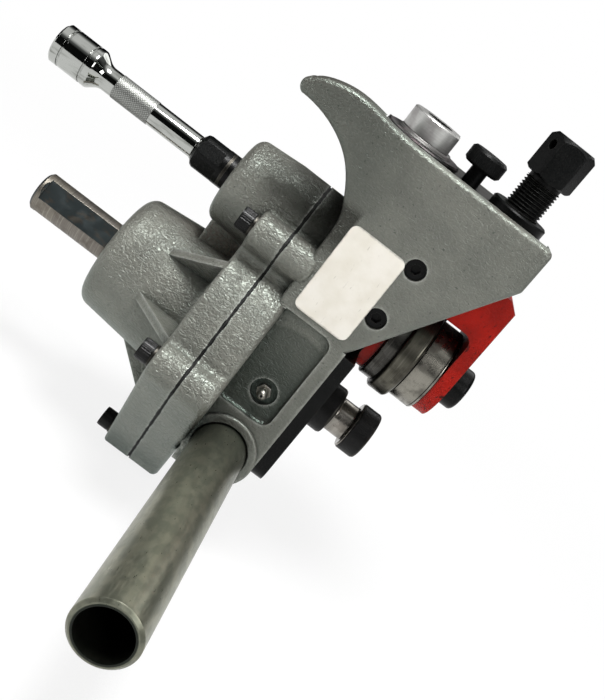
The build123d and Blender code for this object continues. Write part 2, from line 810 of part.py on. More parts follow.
def main_frame():
    """Rear half of the gear case, lower block, side walls and horn, as one casting."""
    side = head_side()
    near = plate_xz(side, -wall_outer, -wall_inner)
    near = fillet(near.faces().sort_by(Axis.Y)[0].edges().filter_by(
        lambda e: e.center().Z > wall_foot + nose_corner), lip_edge)
    frame = near + plate_xz(far_side(side), wall_inner, wall_outer)
    middle = plate_xz(side, -wall_inner, wall_inner)
    frame += middle & block(plate_left, head_back, -wall_outer, wall_outer, wall_foot, plate_bottom)
    frame += plate_xz(lower_block(), -wall_outer, wall_outer)
    case = plate_yz(case_outline(), frame_front, case_back)
    frame += fillet(case.faces().sort_by(Axis.X)[-1].edges(), case_back_edge)
    frame += arm_collar()
    frame -= cavity(frame_front - overrun, cavity_back)
    frame -= block(plate_left, plate_right, -plate_half_width, plate_half_width, plate_bottom,
                   lip_height + overrun)
    frame -= side_pocket()
    core_start = case_back + overrun
    frame -= block(core_start, core_start + head_core_length, -head_core_width / 2, head_core_width / 2,
                   plate_bottom - head_core_depth, plate_bottom + overrun)
    return frame - frame_bores()


def arm_collar():
    """Round collar about the arm's socket, with a soft rim."""
    face = -wall_outer - arm_collar_rise
    collar = rod_y(arm_collar_radius, face, -wall_outer + overrun, arm_x, arm_z)
    return fillet(collar.faces().sort_by(Axis.Y)[0].edges(), arm_collar_edge)


def side_pocket():
    """Shallow cast pocket in the near face beside the case."""
    outline = Pos(case_back - pocket_margin, pocket_low) * Rectangle(
        block_front - case_back, pocket_top - pocket_low, align=(MIN, MIN))
    outline = fillet(outline.vertices(), pocket_corner)
    pocket = plate_xz(outline, -wall_outer - overrun, -wall_outer + pocket_depth)
    pocket = fillet(pocket.faces().sort_by(Axis.Y)[-1].edges(), pocket_floor_radius)
    return pocket & block(case_back, block_front, -wall_outer - overrun, wall_outer, pocket_low, pocket_top)


def frame_bores():
    """Every bore, seat and screw hole of the frame."""
    bores = rod_x(rear_bearing_radius + seat_fit, cavity_back - overrun, cavity_back + rear_bearing_width)
    bores += rod_x(shaft_tunnel_radius, cavity_back, block_front + overrun)
    bores += rod_x(main_bearing_radius + seat_fit, main_bearing_start, block_front + overrun)
    bores += rod_x(pinion_bush_radius + seat_fit, cavity_back - overrun, pinion_rear_end + overrun, 0, pinion_axis_z)
    for hole in at_lugs(cover_screw_radius + seat_fit, frame_front - overrun, frame_front + cover_screw_grip + overrun):
        bores += hole
    for hole in at_dowels(dowel_radius + seat_fit, frame_front - overrun, cover_back + dowel_length / 2):
        bores += hole
    mouth = -wall_outer - arm_collar_rise
    bores += rod_y(arm_thread_radius + arm_thread_fit, mouth - overrun, mouth + arm_socket_depth, arm_x, arm_z)
    bores += Pos(arm_x, mouth, arm_z) * Rot(-90, 0, 0) * Cone(
        arm_thread_radius + arm_chamfer, arm_thread_radius, arm_chamfer, align=(MID, MID, MIN))
    bores += rod_y(grease_pocket_radius, -wall_outer - overrun, grease_seat, arm_x, grease_z)
    bores += rod_y(grease_thread_radius + seat_fit, grease_seat - overrun, grease_seat + grease_thread_length, arm_x, grease_z)
    bores += rod_y(grease_channel_radius, grease_seat, -main_bearing_radius + overrun, arm_x, grease_z)
    for y, z in front_screw_places:
        bores += rod_x(plate_screw_radius + seat_fit, plate_front - plate_screw_length, plate_front, y, z)
    for side in (-1, 1):
        for z in (gib_screw_high, gib_screw_low):
            face = side * wall_outer
            floor = side * (wall_outer - gib_counterbore_depth)
            bores += rod_y(gib_counterbore_radius, min(face, floor) - overrun * (side < 0),
                           max(face, floor) + overrun * (side > 0), gib_x, z)
            bores += rod_y(gib_screw_radius + slide_fit, min(side * wall_inner, floor) - overrun,
                           max(side * wall_inner, floor) + overrun, gib_x, z)
    for x, y in top_screw_places:
        bores += rod_z(top_screw_radius + seat_fit, plate_top - top_screw_length - seat_fit, plate_top, x, y)
    return bores


def support_arm():
    """Steel tube screwed into the lower block, bevelled at its open end."""
    mouth = -wall_outer - arm_collar_rise
    inner_end = mouth + arm_socket_depth - slide_fit
    tube = rod_y(arm_radius, -wall_outer - arm_reach, mouth - arm_thread_show, arm_x, arm_z)
    tube += rod_y(arm_thread_radius, mouth - arm_thread_show, inner_end, arm_x, arm_z)
    tube -= rod_y(arm_bore_radius, -wall_outer - arm_reach - overrun, inner_end + overrun, arm_x, arm_z)
    mouth = [e for e in tube.edges().filter_by(GeomType.CIRCLE)
             if e.center().Y < -arm_reach and e.radius > arm_bore_radius + run_fit]
    return chamfer(mouth, arm_chamfer)


def front_plate():
    """Black retaining plate behind the roll land."""
    half = wall_outer - slide_fit
    outline = Pos(0, front_plate_bottom) * Rectangle(2 * half, front_plate_top - front_plate_bottom, align=(MID, MIN))
    outline = fillet([v for v in outline.vertices() if v.Y < 0], front_plate_corner)
    plate = plate_yz(outline, block_front, plate_front)
    plate -= rod_x(land_radius + shaft_hole_room, block_front - overrun, plate_front + overrun)
    for y, z in front_screw_places:
        plate -= rod_x(plate_screw_radius + slide_fit, block_front - overrun, plate_front + overrun, y, z)
        plate -= rod_x(plate_screw_head_radius + slide_fit, plate_front - plate_head_height, plate_front + overrun, y, z)
    return plate


def front_plate_screws():
    """Four cap screws sunk in the front plate."""
    screws = []
    for y, z in front_screw_places:
        seat = plate_front - plate_head_height
        screw = rod_x(plate_screw_head_radius, seat, plate_front - slide_fit, y, z)
        screw += rod_x(plate_screw_radius, plate_front - plate_screw_length + slide_fit, seat, y, z)
        hexagon = Pos(y, z) * RegularPolygon(plate_screw_head_radius * socket_share, 6, major_radius=False)
        screws.append(screw - plate_yz(hexagon, plate_front - plate_head_height / 2, plate_front + overrun))
    return screws


def grease_fitting():
    """Grease fitting in its round pocket on the near face, pointing to -Y."""
    hexagon = Pos(arm_x, grease_z) * RegularPolygon(grease_hex / 2, 6, major_radius=False)
    top = grease_seat - grease_hex_height
    fitting = plate_xz(hexagon, top, grease_seat)
    fitting += rod_y(grease_thread_radius, grease_seat, grease_seat + grease_thread_length, arm_x, grease_z)
    neck_top = top - grease_neck_height
    fitting += rod_y(grease_neck_radius, neck_top - grease_ball_radius / 2, top, arm_x, grease_z)
    fitting += Pos(arm_x, neck_top - grease_ball_radius / 2, grease_z) * Sphere(grease_ball_radius)
    back = grease_seat + grease_thread_length + overrun
    return fitting - rod_y(grease_channel_radius / 2, neck_top - 2 * grease_ball_radius, back, arm_x, grease_z)


def guide_gibs():
    """Two gibs on the inner walls, each with a tongue in the slide's groove."""
    gibs = []
    gap = housing_back_half_width + slide_fit
    tongue = gib_groove_width / 2 - slide_fit / 2
    for side in (-1, 1):
        low, high = sorted((side * gap, side * wall_inner))
        gib = block(gib_x - gib_width / 2, gib_x + gib_width / 2, low, high, gib_bottom, housing_top)
        low, high = sorted((side * (gap - gib_groove_depth), side * gap))
        gib += block(gib_x - tongue, gib_x + tongue, low, high, gib_bottom, housing_top)
        for z in (gib_screw_high, gib_screw_low):
            low, high = sorted((side * (gap - gib_groove_depth / 2), side * (wall_inner + overrun)))
            gib -= rod_y(gib_screw_radius + seat_fit, low, high, gib_x, z)
        gibs.append(gib)
    return gibs


def gib_screws():
    """Cap screws in counterbores of both side walls, two to a gib."""
    screws = []
    floor = wall_outer - gib_counterbore_depth
    reach = housing_back_half_width
    for side in (-1, 1):
        for z in (gib_screw_high, gib_screw_low):
            low, high = sorted((side * floor, side * (floor + gib_screw_head_height)))
            screw = rod_y(gib_screw_head_radius, low, high, gib_x, z)
            low, high = sorted((side * reach, side * floor))
            screw += rod_y(gib_screw_radius, low, high, gib_x, z)
            top = side * (floor + gib_screw_head_height / 2)
            end = side * (floor + gib_screw_head_height + overrun)
            low, high = sorted((top, end))
            hexagon = Pos(gib_x, z) * RegularPolygon(gib_screw_head_radius * socket_share, 6, major_radius=False)
            screws.append(screw - plate_xz(hexagon, low, high))
    return screws


def top_plate():
    """Plate that closes the head and carries the feed nut and the gauge."""
    plate = block(plate_left, plate_right, -plate_half_width, plate_half_width, plate_bottom, plate_top)
    plate -= rod_z(nut_body_radius + seat_fit, plate_bottom - overrun, plate_top + overrun, feed_axis_x)
    plate -= rod_z(depth_stem_radius + depth_hole_room, plate_bottom - overrun, plate_top + overrun, depth_screw_x)
    plate -= rod_z(gauge_pivot_radius + seat_fit, plate_bottom - overrun, plate_top + overrun, gauge_axis_x)
    for x, y in top_screw_places:
        plate -= rod_z(top_screw_radius + slide_fit / 2, plate_bottom - overrun, plate_top + overrun, x, y)
        plate -= rod_z(top_screw_head_radius + slide_fit / 2, plate_top - top_screw_head_height, plate_top + overrun, x, y)
    return plate


def top_plate_screws():
    """Four cap screws sunk in the top plate."""
    screws = []
    for x, y in top_screw_places:
        seat = plate_top - top_screw_head_height
        screw = rod_z(top_screw_head_radius, seat, plate_top - slide_fit, x, y)
        screw += rod_z(top_screw_radius, plate_top - top_screw_length, seat, x, y)
        socket = Pos(x, y, plate_top - top_screw_head_height / 2) * RegularPolygon(
            top_screw_head_radius * socket_share, 6, major_radius=False)
        screws.append(screw - extrude(socket, top_screw_head_height))
    return screws


def feed_nut():
    """Threaded nut with its flange under the top plate, which takes the rolling load."""
    bottom = plate_bottom - nut_bottom_below_plate
    ring_top = plate_top + nut_ring_height
    nut = rod_z(nut_body_radius, bottom, ring_top, feed_axis_x)
    nut += rod_z(nut_flange_radius, plate_bottom - nut_flange_thickness, plate_bottom, feed_axis_x)
    return nut - rod_z(feed_thread_radius + run_fit, bottom - overrun, ring_top + overrun, feed_axis_x)


def feed_nut_lock_ring():
    """Ring on the nut above the top plate."""
    top = plate_top + nut_ring_height
    inner = nut_body_radius + seat_fit
    return turned_z([
        (inner, plate_top), (nut_ring_radius, plate_top), (nut_ring_radius, top - nut_ring_chamfer),
        (nut_ring_radius - nut_ring_chamfer, top), (inner, top),
    ], feed_axis_x)


def feed_screw():
    """Feed screw with a hexagonal head and a grooved journal that lifts the slide."""
    shoulder = housing_top + thrust_washer_thickness + run_fit
    neck = feed_hex_bottom - feed_neck_length
    journal_end = housing_top - feed_journal_length
    groove_half = keeper_radius + keeper_fit
    groove_z = housing_top - keeper_drop
    groove_radius = feed_journal_radius - feed_groove_depth
    screw = turned_z([
        (0, journal_end), (feed_journal_radius - nut_ring_chamfer, journal_end),
        (feed_journal_radius, journal_end + nut_ring_chamfer),
        (feed_journal_radius, groove_z - groove_half), (groove_radius, groove_z - groove_half),
        (groove_radius, groove_z + groove_half), (feed_journal_radius, groove_z + groove_half),
        (feed_journal_radius, shoulder), (feed_thread_radius, shoulder), (feed_thread_radius, neck),
        (feed_neck_radius, neck), (feed_neck_radius, feed_hex_bottom), (0, feed_hex_bottom),
    ], feed_axis_x)
    hexagon = Pos(feed_axis_x, 0, feed_hex_bottom) * RegularPolygon(feed_hex / 2, 6, major_radius=False)
    head = extrude(hexagon, feed_hex_top - feed_hex_bottom)
    envelope = turned_z([
        (0, feed_hex_bottom), (feed_hex / 2, feed_hex_bottom),
        (feed_hex_corner, feed_hex_bottom + feed_hex_chamfer / 2),
        (feed_hex_corner, feed_hex_top - feed_hex_chamfer),
        (feed_hex_corner - feed_hex_chamfer, feed_hex_top), (0, feed_hex_top),
    ], feed_axis_x)
    screw += head & envelope
    hole = Rot(0, 0, feed_hole_turn) * rod_y(feed_hole_radius, -feed_hex, feed_hex)
    return screw - Pos(feed_axis_x, 0, feed_hex_top - feed_hole_drop) * hole


def roll_housing():
    """Slide with two legs that hold the groove roll's shaft."""
    back = block(housing_back, left_leg_start, -housing_back_half_width, housing_back_half_width,
                 housing_back_bottom, housing_top)
    chamfer_start = housing_top - housing_front_chamfer_height
    yoke = plate_xz(make_face(Polyline(
        (left_leg_start, roll_axis_z), (housing_front, roll_axis_z), (housing_front, chamfer_start),
        (housing_front - housing_front_chamfer, housing_top), (left_leg_start, housing_top), close=True)),
        -housing_half_width, housing_half_width)
    feet = rod_x(housing_half_width, left_leg_start, housing_front, 0, roll_axis_z)
    window = Pos(roll_start - roll_side_gap, 0) * Rectangle(
        roll_total_width + 2 * roll_side_gap, window_ceiling, align=(MIN, MIN))
    window = fillet([v for v in window.vertices() if v.Y > 0], window_corner)
    housing = back + yoke + feet
    housing -= plate_xz(window, -2 * housing_half_width, 2 * housing_half_width)
    for side in (-1, 1):
        low, high = sorted((side * (housing_back_half_width - gib_groove_depth),
                            side * (housing_back_half_width + overrun)))
        housing -= block(gib_x - gib_groove_width / 2, gib_x + gib_groove_width / 2, low, high,
                         housing_back_bottom - overrun, housing_top + overrun)
    housing -= rod_x(roll_shaft_radius + seat_fit, left_leg_start - overrun, housing_front + overrun, 0, roll_axis_z)
    housing -= rod_z(feed_journal_radius + run_fit, housing_top - feed_journal_length - overrun,
                     housing_top + overrun, feed_axis_x)
    housing -= rod_z(depth_stem_radius + run_fit, depth_screw_bottom - overrun, housing_top + overrun, depth_screw_x)
    for x in keeper_places:
        housing -= rod_y(keeper_radius + seat_fit, -housing_half_width - overrun, housing_half_width + overrun,
                         x, housing_top - keeper_drop)
    return housing


def roll_shaft():
    """Shaft of the groove roll with its round head outside the right leg."""
    head_end = housing_front + roll_shaft_head_length
    shaft = rod_x(roll_shaft_radius, left_leg_start, housing_front, 0, roll_axis_z)
    head = rod_x(roll_shaft_head_radius, housing_front, head_end, 0, roll_axis_z)
    head = round_rim_x(head, roll_shaft_head_edge, head_end, roll_shaft_head_radius)
    return shaft + head


def groove_roll():
    """Groove roll: black land, ridge that forms the groove, ground steel land."""
    x = [roll_start]
    for width in (roll_land_width, ridge_width, roll_step_width):
        x.append(x[-1] + width)
    bore = roll_bearing_radius + seat_fit
    roll = turned_x([
        (x[0], bore), (x[0], roll_land_radius), (x[1], roll_land_radius), (x[1], ridge_radius),
        (x[2], ridge_radius), (x[2], roll_step_radius), (x[3], roll_step_radius),
        (x[3], steel_land_radius), (roll_end, steel_land_radius), (roll_end, bore),
    ], roll_axis_z)
    roll = round_rim_x(roll, ridge_edge, x[1], ridge_radius)
    roll = round_rim_x(roll, ridge_edge, x[2], ridge_radius)
    roll = round_rim_x(roll, roll_edge, x[0], roll_land_radius)
    return round_rim_x(roll, roll_edge, roll_end, steel_land_radius)


def depth_gauge():
    """Turning gauge with a flange under the depth knob and a faceted hub."""
    bottom = plate_top + slide_fit
    flange_top = bottom + gauge_flange_thickness
    top = bottom + gauge_height
    bore = gauge_pivot_radius + run_fit
    gauge = turned_z([
        (bore, bottom), (gauge_flange_radius - gauge_edge, bottom), (gauge_flange_radius, bottom + gauge_edge),
        (gauge_flange_radius, flange_top - gauge_edge), (gauge_flange_radius - gauge_edge, flange_top),
        (gauge_hub_radius + gauge_flare, flange_top), (gauge_hub_radius, flange_top + gauge_flare),
        (gauge_hub_radius, top - gauge_edge), (gauge_hub_radius - gauge_edge, top), (bore, top),
    ], gauge_axis_x)
    gauge -= rod_z(gauge_pivot_head_radius + run_fit, top - gauge_pivot_head_height - run_fit, top + overrun, gauge_axis_x)
    facet = block(gauge_axis_x + gauge_facet, gauge_axis_x + 2 * gauge_facet, -2 * gauge_facet, 2 * gauge_facet,
                  flange_top + gauge_flare, top + overrun)
    return gauge - facet


def gauge_pivot_screw():
    """Shoulder screw that the gauge turns on."""
    top = plate_top + slide_fit + gauge_height
    seat = top - gauge_pivot_head_height
    screw = rod_z(gauge_pivot_radius, plate_bottom, seat, gauge_axis_x)
    screw += rod_z(gauge_pivot_head_radius, seat, top, gauge_axis_x)
    socket = Pos(gauge_axis_x, 0, top - gauge_pivot_head_height / 2) * RegularPolygon(
        gauge_pivot_head_radius * socket_share, 6, major_radius=False)
    return screw - extrude(socket, gauge_pivot_head_height)


def depth_screw():
    """Knurled thumb screw in the slide, whose knob stops on the gauge."""
    top = depth_knob_bottom + depth_knob_height
    edge = depth_knob_edge
    screw = turned_z([
        (0, depth_screw_bottom), (depth_stem_radius, depth_screw_bottom), (depth_stem_radius, depth_knob_bottom),
        (depth_knob_radius - edge, depth_knob_bottom), (depth_knob_radius, depth_knob_bottom + edge),
        (depth_knob_radius, top - edge), (depth_knob_radius - edge, top), (0, top),
    ], depth_screw_x)
    flute = rod_z(depth_knob_flute_radius, depth_knob_bottom - overrun, top + overrun,
                  depth_knob_radius + depth_knob_flute_radius / 2)
    for number in range(depth_knob_flutes):
        screw -= Pos(depth_screw_x, 0) * Rot(0, 0, 360 * number / depth_knob_flutes) * flute
    return screw


os.makedirs("parts", exist_ok=True)
save("main_frame", main_frame())
save("gear_cover", gear_cover())
save("cover_gasket", cover_gasket())
save("cover_screws", *cover_screws())
save("cover_washers", *cover_washers())
save("cover_dowels", *at_dowels(dowel_radius, cover_back - dowel_length / 2 + slide_fit,
                                cover_back + dowel_length / 2 - slide_fit))
save("support_arm", support_arm())
save("front_plate", front_plate())
save("front_plate_screws", *front_plate_screws())
save("grease_fitting", grease_fitting())
save("guide_gibs", *guide_gibs())
save("gib_screws", *gib_screws())
save("top_plate", top_plate())
save("top_plate_screws", *top_plate_screws())
save("feed_nut", feed_nut())
save("feed_nut_lock_ring", feed_nut_lock_ring())
save("gauge_pivot_screw", gauge_pivot_screw())
save("drive_shaft_seal", ring_x(seal_radius, shank_radius + run_fit, seal_start, seal_start + seal_width))
save("front_drive_bearing", ring_x(front_bearing_radius, front_journal_radius + run_fit, front_bearing_start,
                                   front_bearing_start + front_bearing_width))
save("rear_drive_bearing", ring_x(rear_bearing_radius, rear_journal_radius + run_fit, cavity_back,
                                  cavity_back + rear_bearing_width))
save("main_drive_bearing", ring_x(main_bearing_radius, main_journal_radius + run_fit, main_bearing_start,
                                  block_front))
save("pinion_seal", ring_x(pinion_seal_radius, pinion_journal_radius + run_fit, pinion_seal_end - pinion_seal_width,
                           pinion_seal_end, pinion_axis_z))
save("pinion_front_bush", ring_x(pinion_bush_radius, pinion_journal_radius + run_fit, pinion_bush_start,
                                 pinion_bush_start + pinion_front_bush_length, pinion_axis_z))
save("pinion_rear_bush", ring_x(pinion_bush_radius, pinion_journal_radius + run_fit, cavity_back,
                                pinion_rear_end, pinion_axis_z))
save("drive_shaft", drive_shaft())
save("drive_gear", drive_gear())
save("gear_key", key_blank(0))
save("gear_retaining_ring", gear_ring())
save("pinion_shaft", pinion_shaft())
save("coupler_ring", coupler_ring())
save("extension_bar", extension_bar())
save("bar_detent_ball", bar_detent_ball())
save("roll_housing", roll_housing())
save("roll_shaft", roll_shaft())
save("screw_keeper_pins", *[rod_y(keeper_radius, -housing_half_width, housing_half_width, x,
                                  housing_top - keeper_drop) for x in keeper_places])
save("thrust_washer", rod_z(thrust_washer_radius, housing_top, housing_top + thrust_washer_thickness, feed_axis_x)
     - rod_z(feed_journal_radius + run_fit, housing_top - overrun, feed_hex_bottom, feed_axis_x))
save("groove_roll", groove_roll())
save("roll_needle_bearing", ring_x(roll_bearing_radius, roll_shaft_radius + run_fit, roll_start, roll_end,
                                   roll_axis_z))
save("feed_screw", feed_screw())
save("depth_gauge", depth_gauge())
save("depth_screw", depth_screw())
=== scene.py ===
"""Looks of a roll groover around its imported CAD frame: camera, light, finishes and fine pieces.

Sizes are written in millimetres, as on a workshop drawing, and become metres where a mesh is made.
The frame has X along the drive shaft toward the rolls, Z up along the feed screw, and the arm on -Y.
"""

import logging
import math
from dataclasses import dataclass, fields
from enum import Enum
from typing import Any, ClassVar, Iterable, Optional, Sequence, Union

import bmesh
import bpy
from bpy.types import Material, NodeSocket, NodeTree, Object
from mathutils import Matrix, Vector


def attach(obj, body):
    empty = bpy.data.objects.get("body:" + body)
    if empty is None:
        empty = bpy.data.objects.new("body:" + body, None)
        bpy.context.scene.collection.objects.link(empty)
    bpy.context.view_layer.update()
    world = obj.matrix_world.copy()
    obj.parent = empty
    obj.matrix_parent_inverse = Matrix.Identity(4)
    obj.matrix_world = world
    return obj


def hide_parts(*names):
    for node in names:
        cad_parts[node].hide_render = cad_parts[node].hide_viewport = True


MM = 0.001
WELD_M = 2e-6  # corners nearer than this are one corner
CUT_M = 1e-7  # a corner nearer to a cut than this lies on it
LOG = logging.getLogger("roll_groover")

Triple = tuple[float, float, float]
Value = Union[float, Sequence[float], NodeSocket]
Inputs = dict[Union[str, int], Value]
Coat = tuple[NodeSocket, str]
Rack = dict[str, Material]

EVEN: Triple = (1.0, 1.0, 1.0)

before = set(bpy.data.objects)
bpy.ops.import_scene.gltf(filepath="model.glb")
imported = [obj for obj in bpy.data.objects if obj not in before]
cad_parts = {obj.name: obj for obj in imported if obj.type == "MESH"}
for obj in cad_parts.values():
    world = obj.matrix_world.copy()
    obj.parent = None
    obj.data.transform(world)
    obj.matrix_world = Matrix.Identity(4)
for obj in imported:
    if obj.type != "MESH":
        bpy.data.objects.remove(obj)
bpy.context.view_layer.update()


class Axis(Enum):
    """An axis of the row frame, by its place in a coordinate."""

    X = 0
    Y = 1
    Z = 2


class Body(Enum):
    """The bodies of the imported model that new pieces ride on."""

    FRAME = "frame"
    DRIVE = "drive"
    SCREW = "feed_screw"


# Colour and nodes


def linear(hex_colour: str) -> tuple[float, float, float, float]:
    """Turn an sRGB hex colour into the linear colour that shaders read, by the standard's own curve.

    Args:
        hex_colour: the colour as six hex digits after a hash.

    Returns:
        Red, green, blue and an alpha of one.
    """
    parts = [int(hex_colour[i:i + 2], 16) / 255 for i in (1, 3, 5)]
    made = [p / 12.92 if p <= 0.04045 else ((p + 0.055) / 1.055) ** 2.4 for p in parts]
    return (made[0], made[1], made[2], 1.0)


def add_node(tree: NodeTree, kind: str, inputs: Optional[Inputs] = None, out: Union[int, str] = 0,
             stops: Sequence[tuple[float, Union[float, str]]] = (), **settings: Any) -> Optional[NodeSocket]:
    """Add a node with its settings, values and links.

    Args:
        tree: the node tree that it goes into.
        kind: the node's type name, after the part that all shader nodes share.
        inputs: for each input, by name or number, its value or the socket linked to it.
        out: the output that is wanted, by name or number.
        stops: for a ramp, each stop's place with its hex colour or grey value, in order.
        settings: properties of the node itself.

    Returns:
        The wanted output, or nothing where the node has none.
    """
    node = tree.nodes.new("ShaderNode" + kind)
    for name, value in settings.items():
        setattr(node, name, value)
    for key, value in (inputs or {}).items():
        if isinstance(value, NodeSocket):
            tree.links.new(value, node.inputs[key])
        else:
            node.inputs[key].default_value = value
    for number, (place, shade) in enumerate(stops):
        made = node.color_ramp.elements
        element = made[number] if number < len(made) else made.new(place)
        element.position = place
        element.color = linear(shade) if isinstance(shade, str) else (shade, shade, shade, 1.0)
    return node.outputs[out] if len(node.outputs) else None


class Surface:
    """A material being made, with the steps that all finishes share."""

    def __init__(self, name: str) -> None:
        """Start the empty material.

        Args:
            name: the material's name.
        """
        self.material: Material = bpy.data.materials.new(name)
        self.material.use_nodes = True
        self.tree: NodeTree = self.material.node_tree
        self.tree.nodes.clear()
        self.place: NodeSocket = self.add("TexCoord", out="Object")

    def add(self, kind: str, inputs: Optional[Inputs] = None, out: Union[int, str] = 0, **settings: Any) -> NodeSocket:
        """Add a node to this material's tree, as add_node does."""
        return add_node(self.tree, kind, inputs, out, **settings)

    def grain(self, size_mm: float, stretch: Sequence[float] = EVEN, detail: float = 2.0,
              distortion: float = 0.0) -> NodeSocket:
        """Lay an irregular pattern with features of a real size.

        Args:
            size_mm: the width of a feature.
            stretch: how much longer a feature is along each axis.
            detail: how much finer grain rides on the pattern.
            distortion: how far the pattern is pushed about.

        Returns:
            A value about one half.
        """
        scale = tuple(1 / (size_mm * MM * s) for s in stretch)
        mapped = self.add("Mapping", {"Vector": self.place, "Scale": scale})
        return self.add("TexNoise", {"Vector": mapped, "Scale": 1.0, "Detail": detail, "Distortion": distortion})

    def ragged(self, value: NodeSocket, push: float, size_mm: float, stretch: Sequence[float] = EVEN,
               detail: float = 4.0) -> NodeSocket:
        """Push a value about with grain, so that a border drawn by it is ragged.

        Args:
            value: the value that draws the border.
            push: how far it is pushed at most, in its own unit.
            size_mm: the width of the grain.
            stretch: how much longer the grain is along each axis.
            detail: how much finer grain rides on it.

        Returns:
            The pushed value, higher by half of push on average.
        """
        return self.add("Math", {0: self.grain(size_mm, stretch, detail), 1: push, 2: value}, operation="MULTIPLY_ADD")

    def off_axis(self, axis: Axis, centre_mm: Triple = (0.0, 0.0, 0.0)) -> NodeSocket:
        """Measure how far a place lies from a line along an axis.

        Args:
            axis: the axis that the line runs along.
            centre_mm: a point of the line, with zero along that axis.

        Returns:
            The distance in metres.
        """
        across = [0.0 if each is axis else 1.0 for each in Axis]
        flat = self.add("VectorMath", {0: self.place, 1: across}, operation="MULTIPLY")
        return self.add("VectorMath", {0: flat, 1: Vector(centre_mm) * MM}, "Value", operation="DISTANCE")

    def overlap(self, *masks: NodeSocket) -> NodeSocket:
        """Keep what lies in every one of some masks.

        Args:
            masks: the masks, two or more.

        Returns:
            Their product.
        """
        shared = masks[0]
        for mask in masks[1:]:
            shared = self.add("Math", {0: shared, 1: mask}, operation="MULTIPLY")
        return shared

    def coats(self, base: Union[str, NodeSocket], *upper: Coat) -> NodeSocket:
        """Lay coats of colour over each other, each one where its mask shows it.

        Args:
            base: the lowest colour, plain or already patterned.
            upper: a mask and a hex colour for each coat above it, from the lowest up.

        Returns:
            The colour that is seen.
        """
        seen: Value = linear(base) if isinstance(base, str) else base
        for mask, colour in upper:
            seen = self.add("Mix", {0: mask, 6: seen, 7: linear(colour)}, 2, data_type="RGBA")
        return seen

    def relief(self, soft_edge_mm: float, *layers: tuple[NodeSocket, float]) -> NodeSocket:
        """Round the sharp edges a little, and lay height patterns over each other.

        Args:
            soft_edge_mm: the radius that edges seem to have, or zero where the shape has its own.
            layers: each height pattern and its depth in millimetres, from the lowest up.

        Returns:
            The normal of the surface.
        """
        normal = self.add("NewGeometry", out="Normal")
        if soft_edge_mm:
            normal = self.add("Bevel", {"Radius": soft_edge_mm * MM}, samples=4)
        for height, depth_mm in layers:
            normal = self.add("Bump", {"Height": height, "Distance": depth_mm * MM, "Strength": 1.0, "Normal": normal})
        return normal

    def finish(self, colour: NodeSocket, roughness: Value, normal: NodeSocket, **fixed: Value) -> Material:
        """Join the patterns to the shader and return the finished material.

        Args:
            colour: the base colour.
            roughness: the roughness, as a pattern or one value.
            normal: the normal of the surface.
            fixed: the shader's other sockets by name, with an underscore for each space.

        Returns:
            The material.
        """
        inputs: Inputs = {"Base Color": colour, "Roughness": roughness, "Normal": normal}
        inputs.update({name.replace("_", " "): value for name, value in fixed.items()})
        self.add("OutputMaterial", {"Surface": self.add("BsdfPrincipled", inputs)})
        return self.material


# Masks that the finishes are made of


@dataclass(frozen=True)
class Fade:
    """A mask that changes between two places along an axis: evenly, or softly at both ends."""

    start_mm: float
    end_mm: float
    at_start: float = 0.0
    at_end: float = 1.0
    axis: Axis = Axis.X
    soft: bool = False

    def on(self, s: Surface, place: Optional[NodeSocket] = None) -> NodeSocket:
        """Lay the mask on a surface.

        Args:
            s: the surface.
            place: what it goes by, in metres, where that isn't the coordinate along its axis.

        Returns:
            The mask.
        """
        by = s.add("SeparateXYZ", {0: s.place}, self.axis.value) if place is None else place
        return s.add("MapRange", {"Value": by, "From Min": self.start_mm * MM, "From Max": self.end_mm * MM,
                                  "To Min": self.at_start, "To Max": self.at_end},
                     interpolation_type="SMOOTHSTEP" if self.soft else "LINEAR")


@dataclass(frozen=True)
class Patches:
    """Irregular patches with soft borders. One starts where the pattern is at low, and is full at high."""

    size_mm: float
    low: float
    high: float
    share: float = 1.0
    stretch: Triple = EVEN
    detail: float = 4.0

    def on(self, s: Surface) -> NodeSocket:
        """Lay the patches on a surface.

        Args:
            s: the surface.

        Returns:
            A mask from zero to share.
        """
        return s.add("MapRange", {"Value": s.grain(self.size_mm, self.stretch, self.detail), "From Min": self.low,
                                  "From Max": self.high, "To Max": self.share}, interpolation_type="SMOOTHSTEP")


@dataclass(frozen=True)
class WornRims:
    """Where handling rubs a finish first: the outward edges, within a width, in ragged patches."""

    width_mm: float
    ragged_mm: float
    share: float
    push: float = 0.35  # how much the patches count beside the sharpness of the edge
    low: float = 0.43
    high: float = 0.62
    samples: int = 6

    def on(self, s: Surface) -> NodeSocket:
        """Lay the wear on a surface.

        Args:
            s: the surface.

        Returns:
            A mask from zero to share.
        """
        shade = s.add("AmbientOcclusion", {"Distance": self.width_mm * MM}, "AO", inside=True, only_local=True,
                      samples=self.samples)
        edge = s.add("Math", {0: 1.0, 1: shade}, operation="SUBTRACT")
        return s.add("MapRange", {"Value": s.ragged(edge, self.push, self.ragged_mm, detail=3), "From Min": self.low,
                                  "From Max": self.high, "To Max": self.share}, interpolation_type="SMOOTHSTEP")


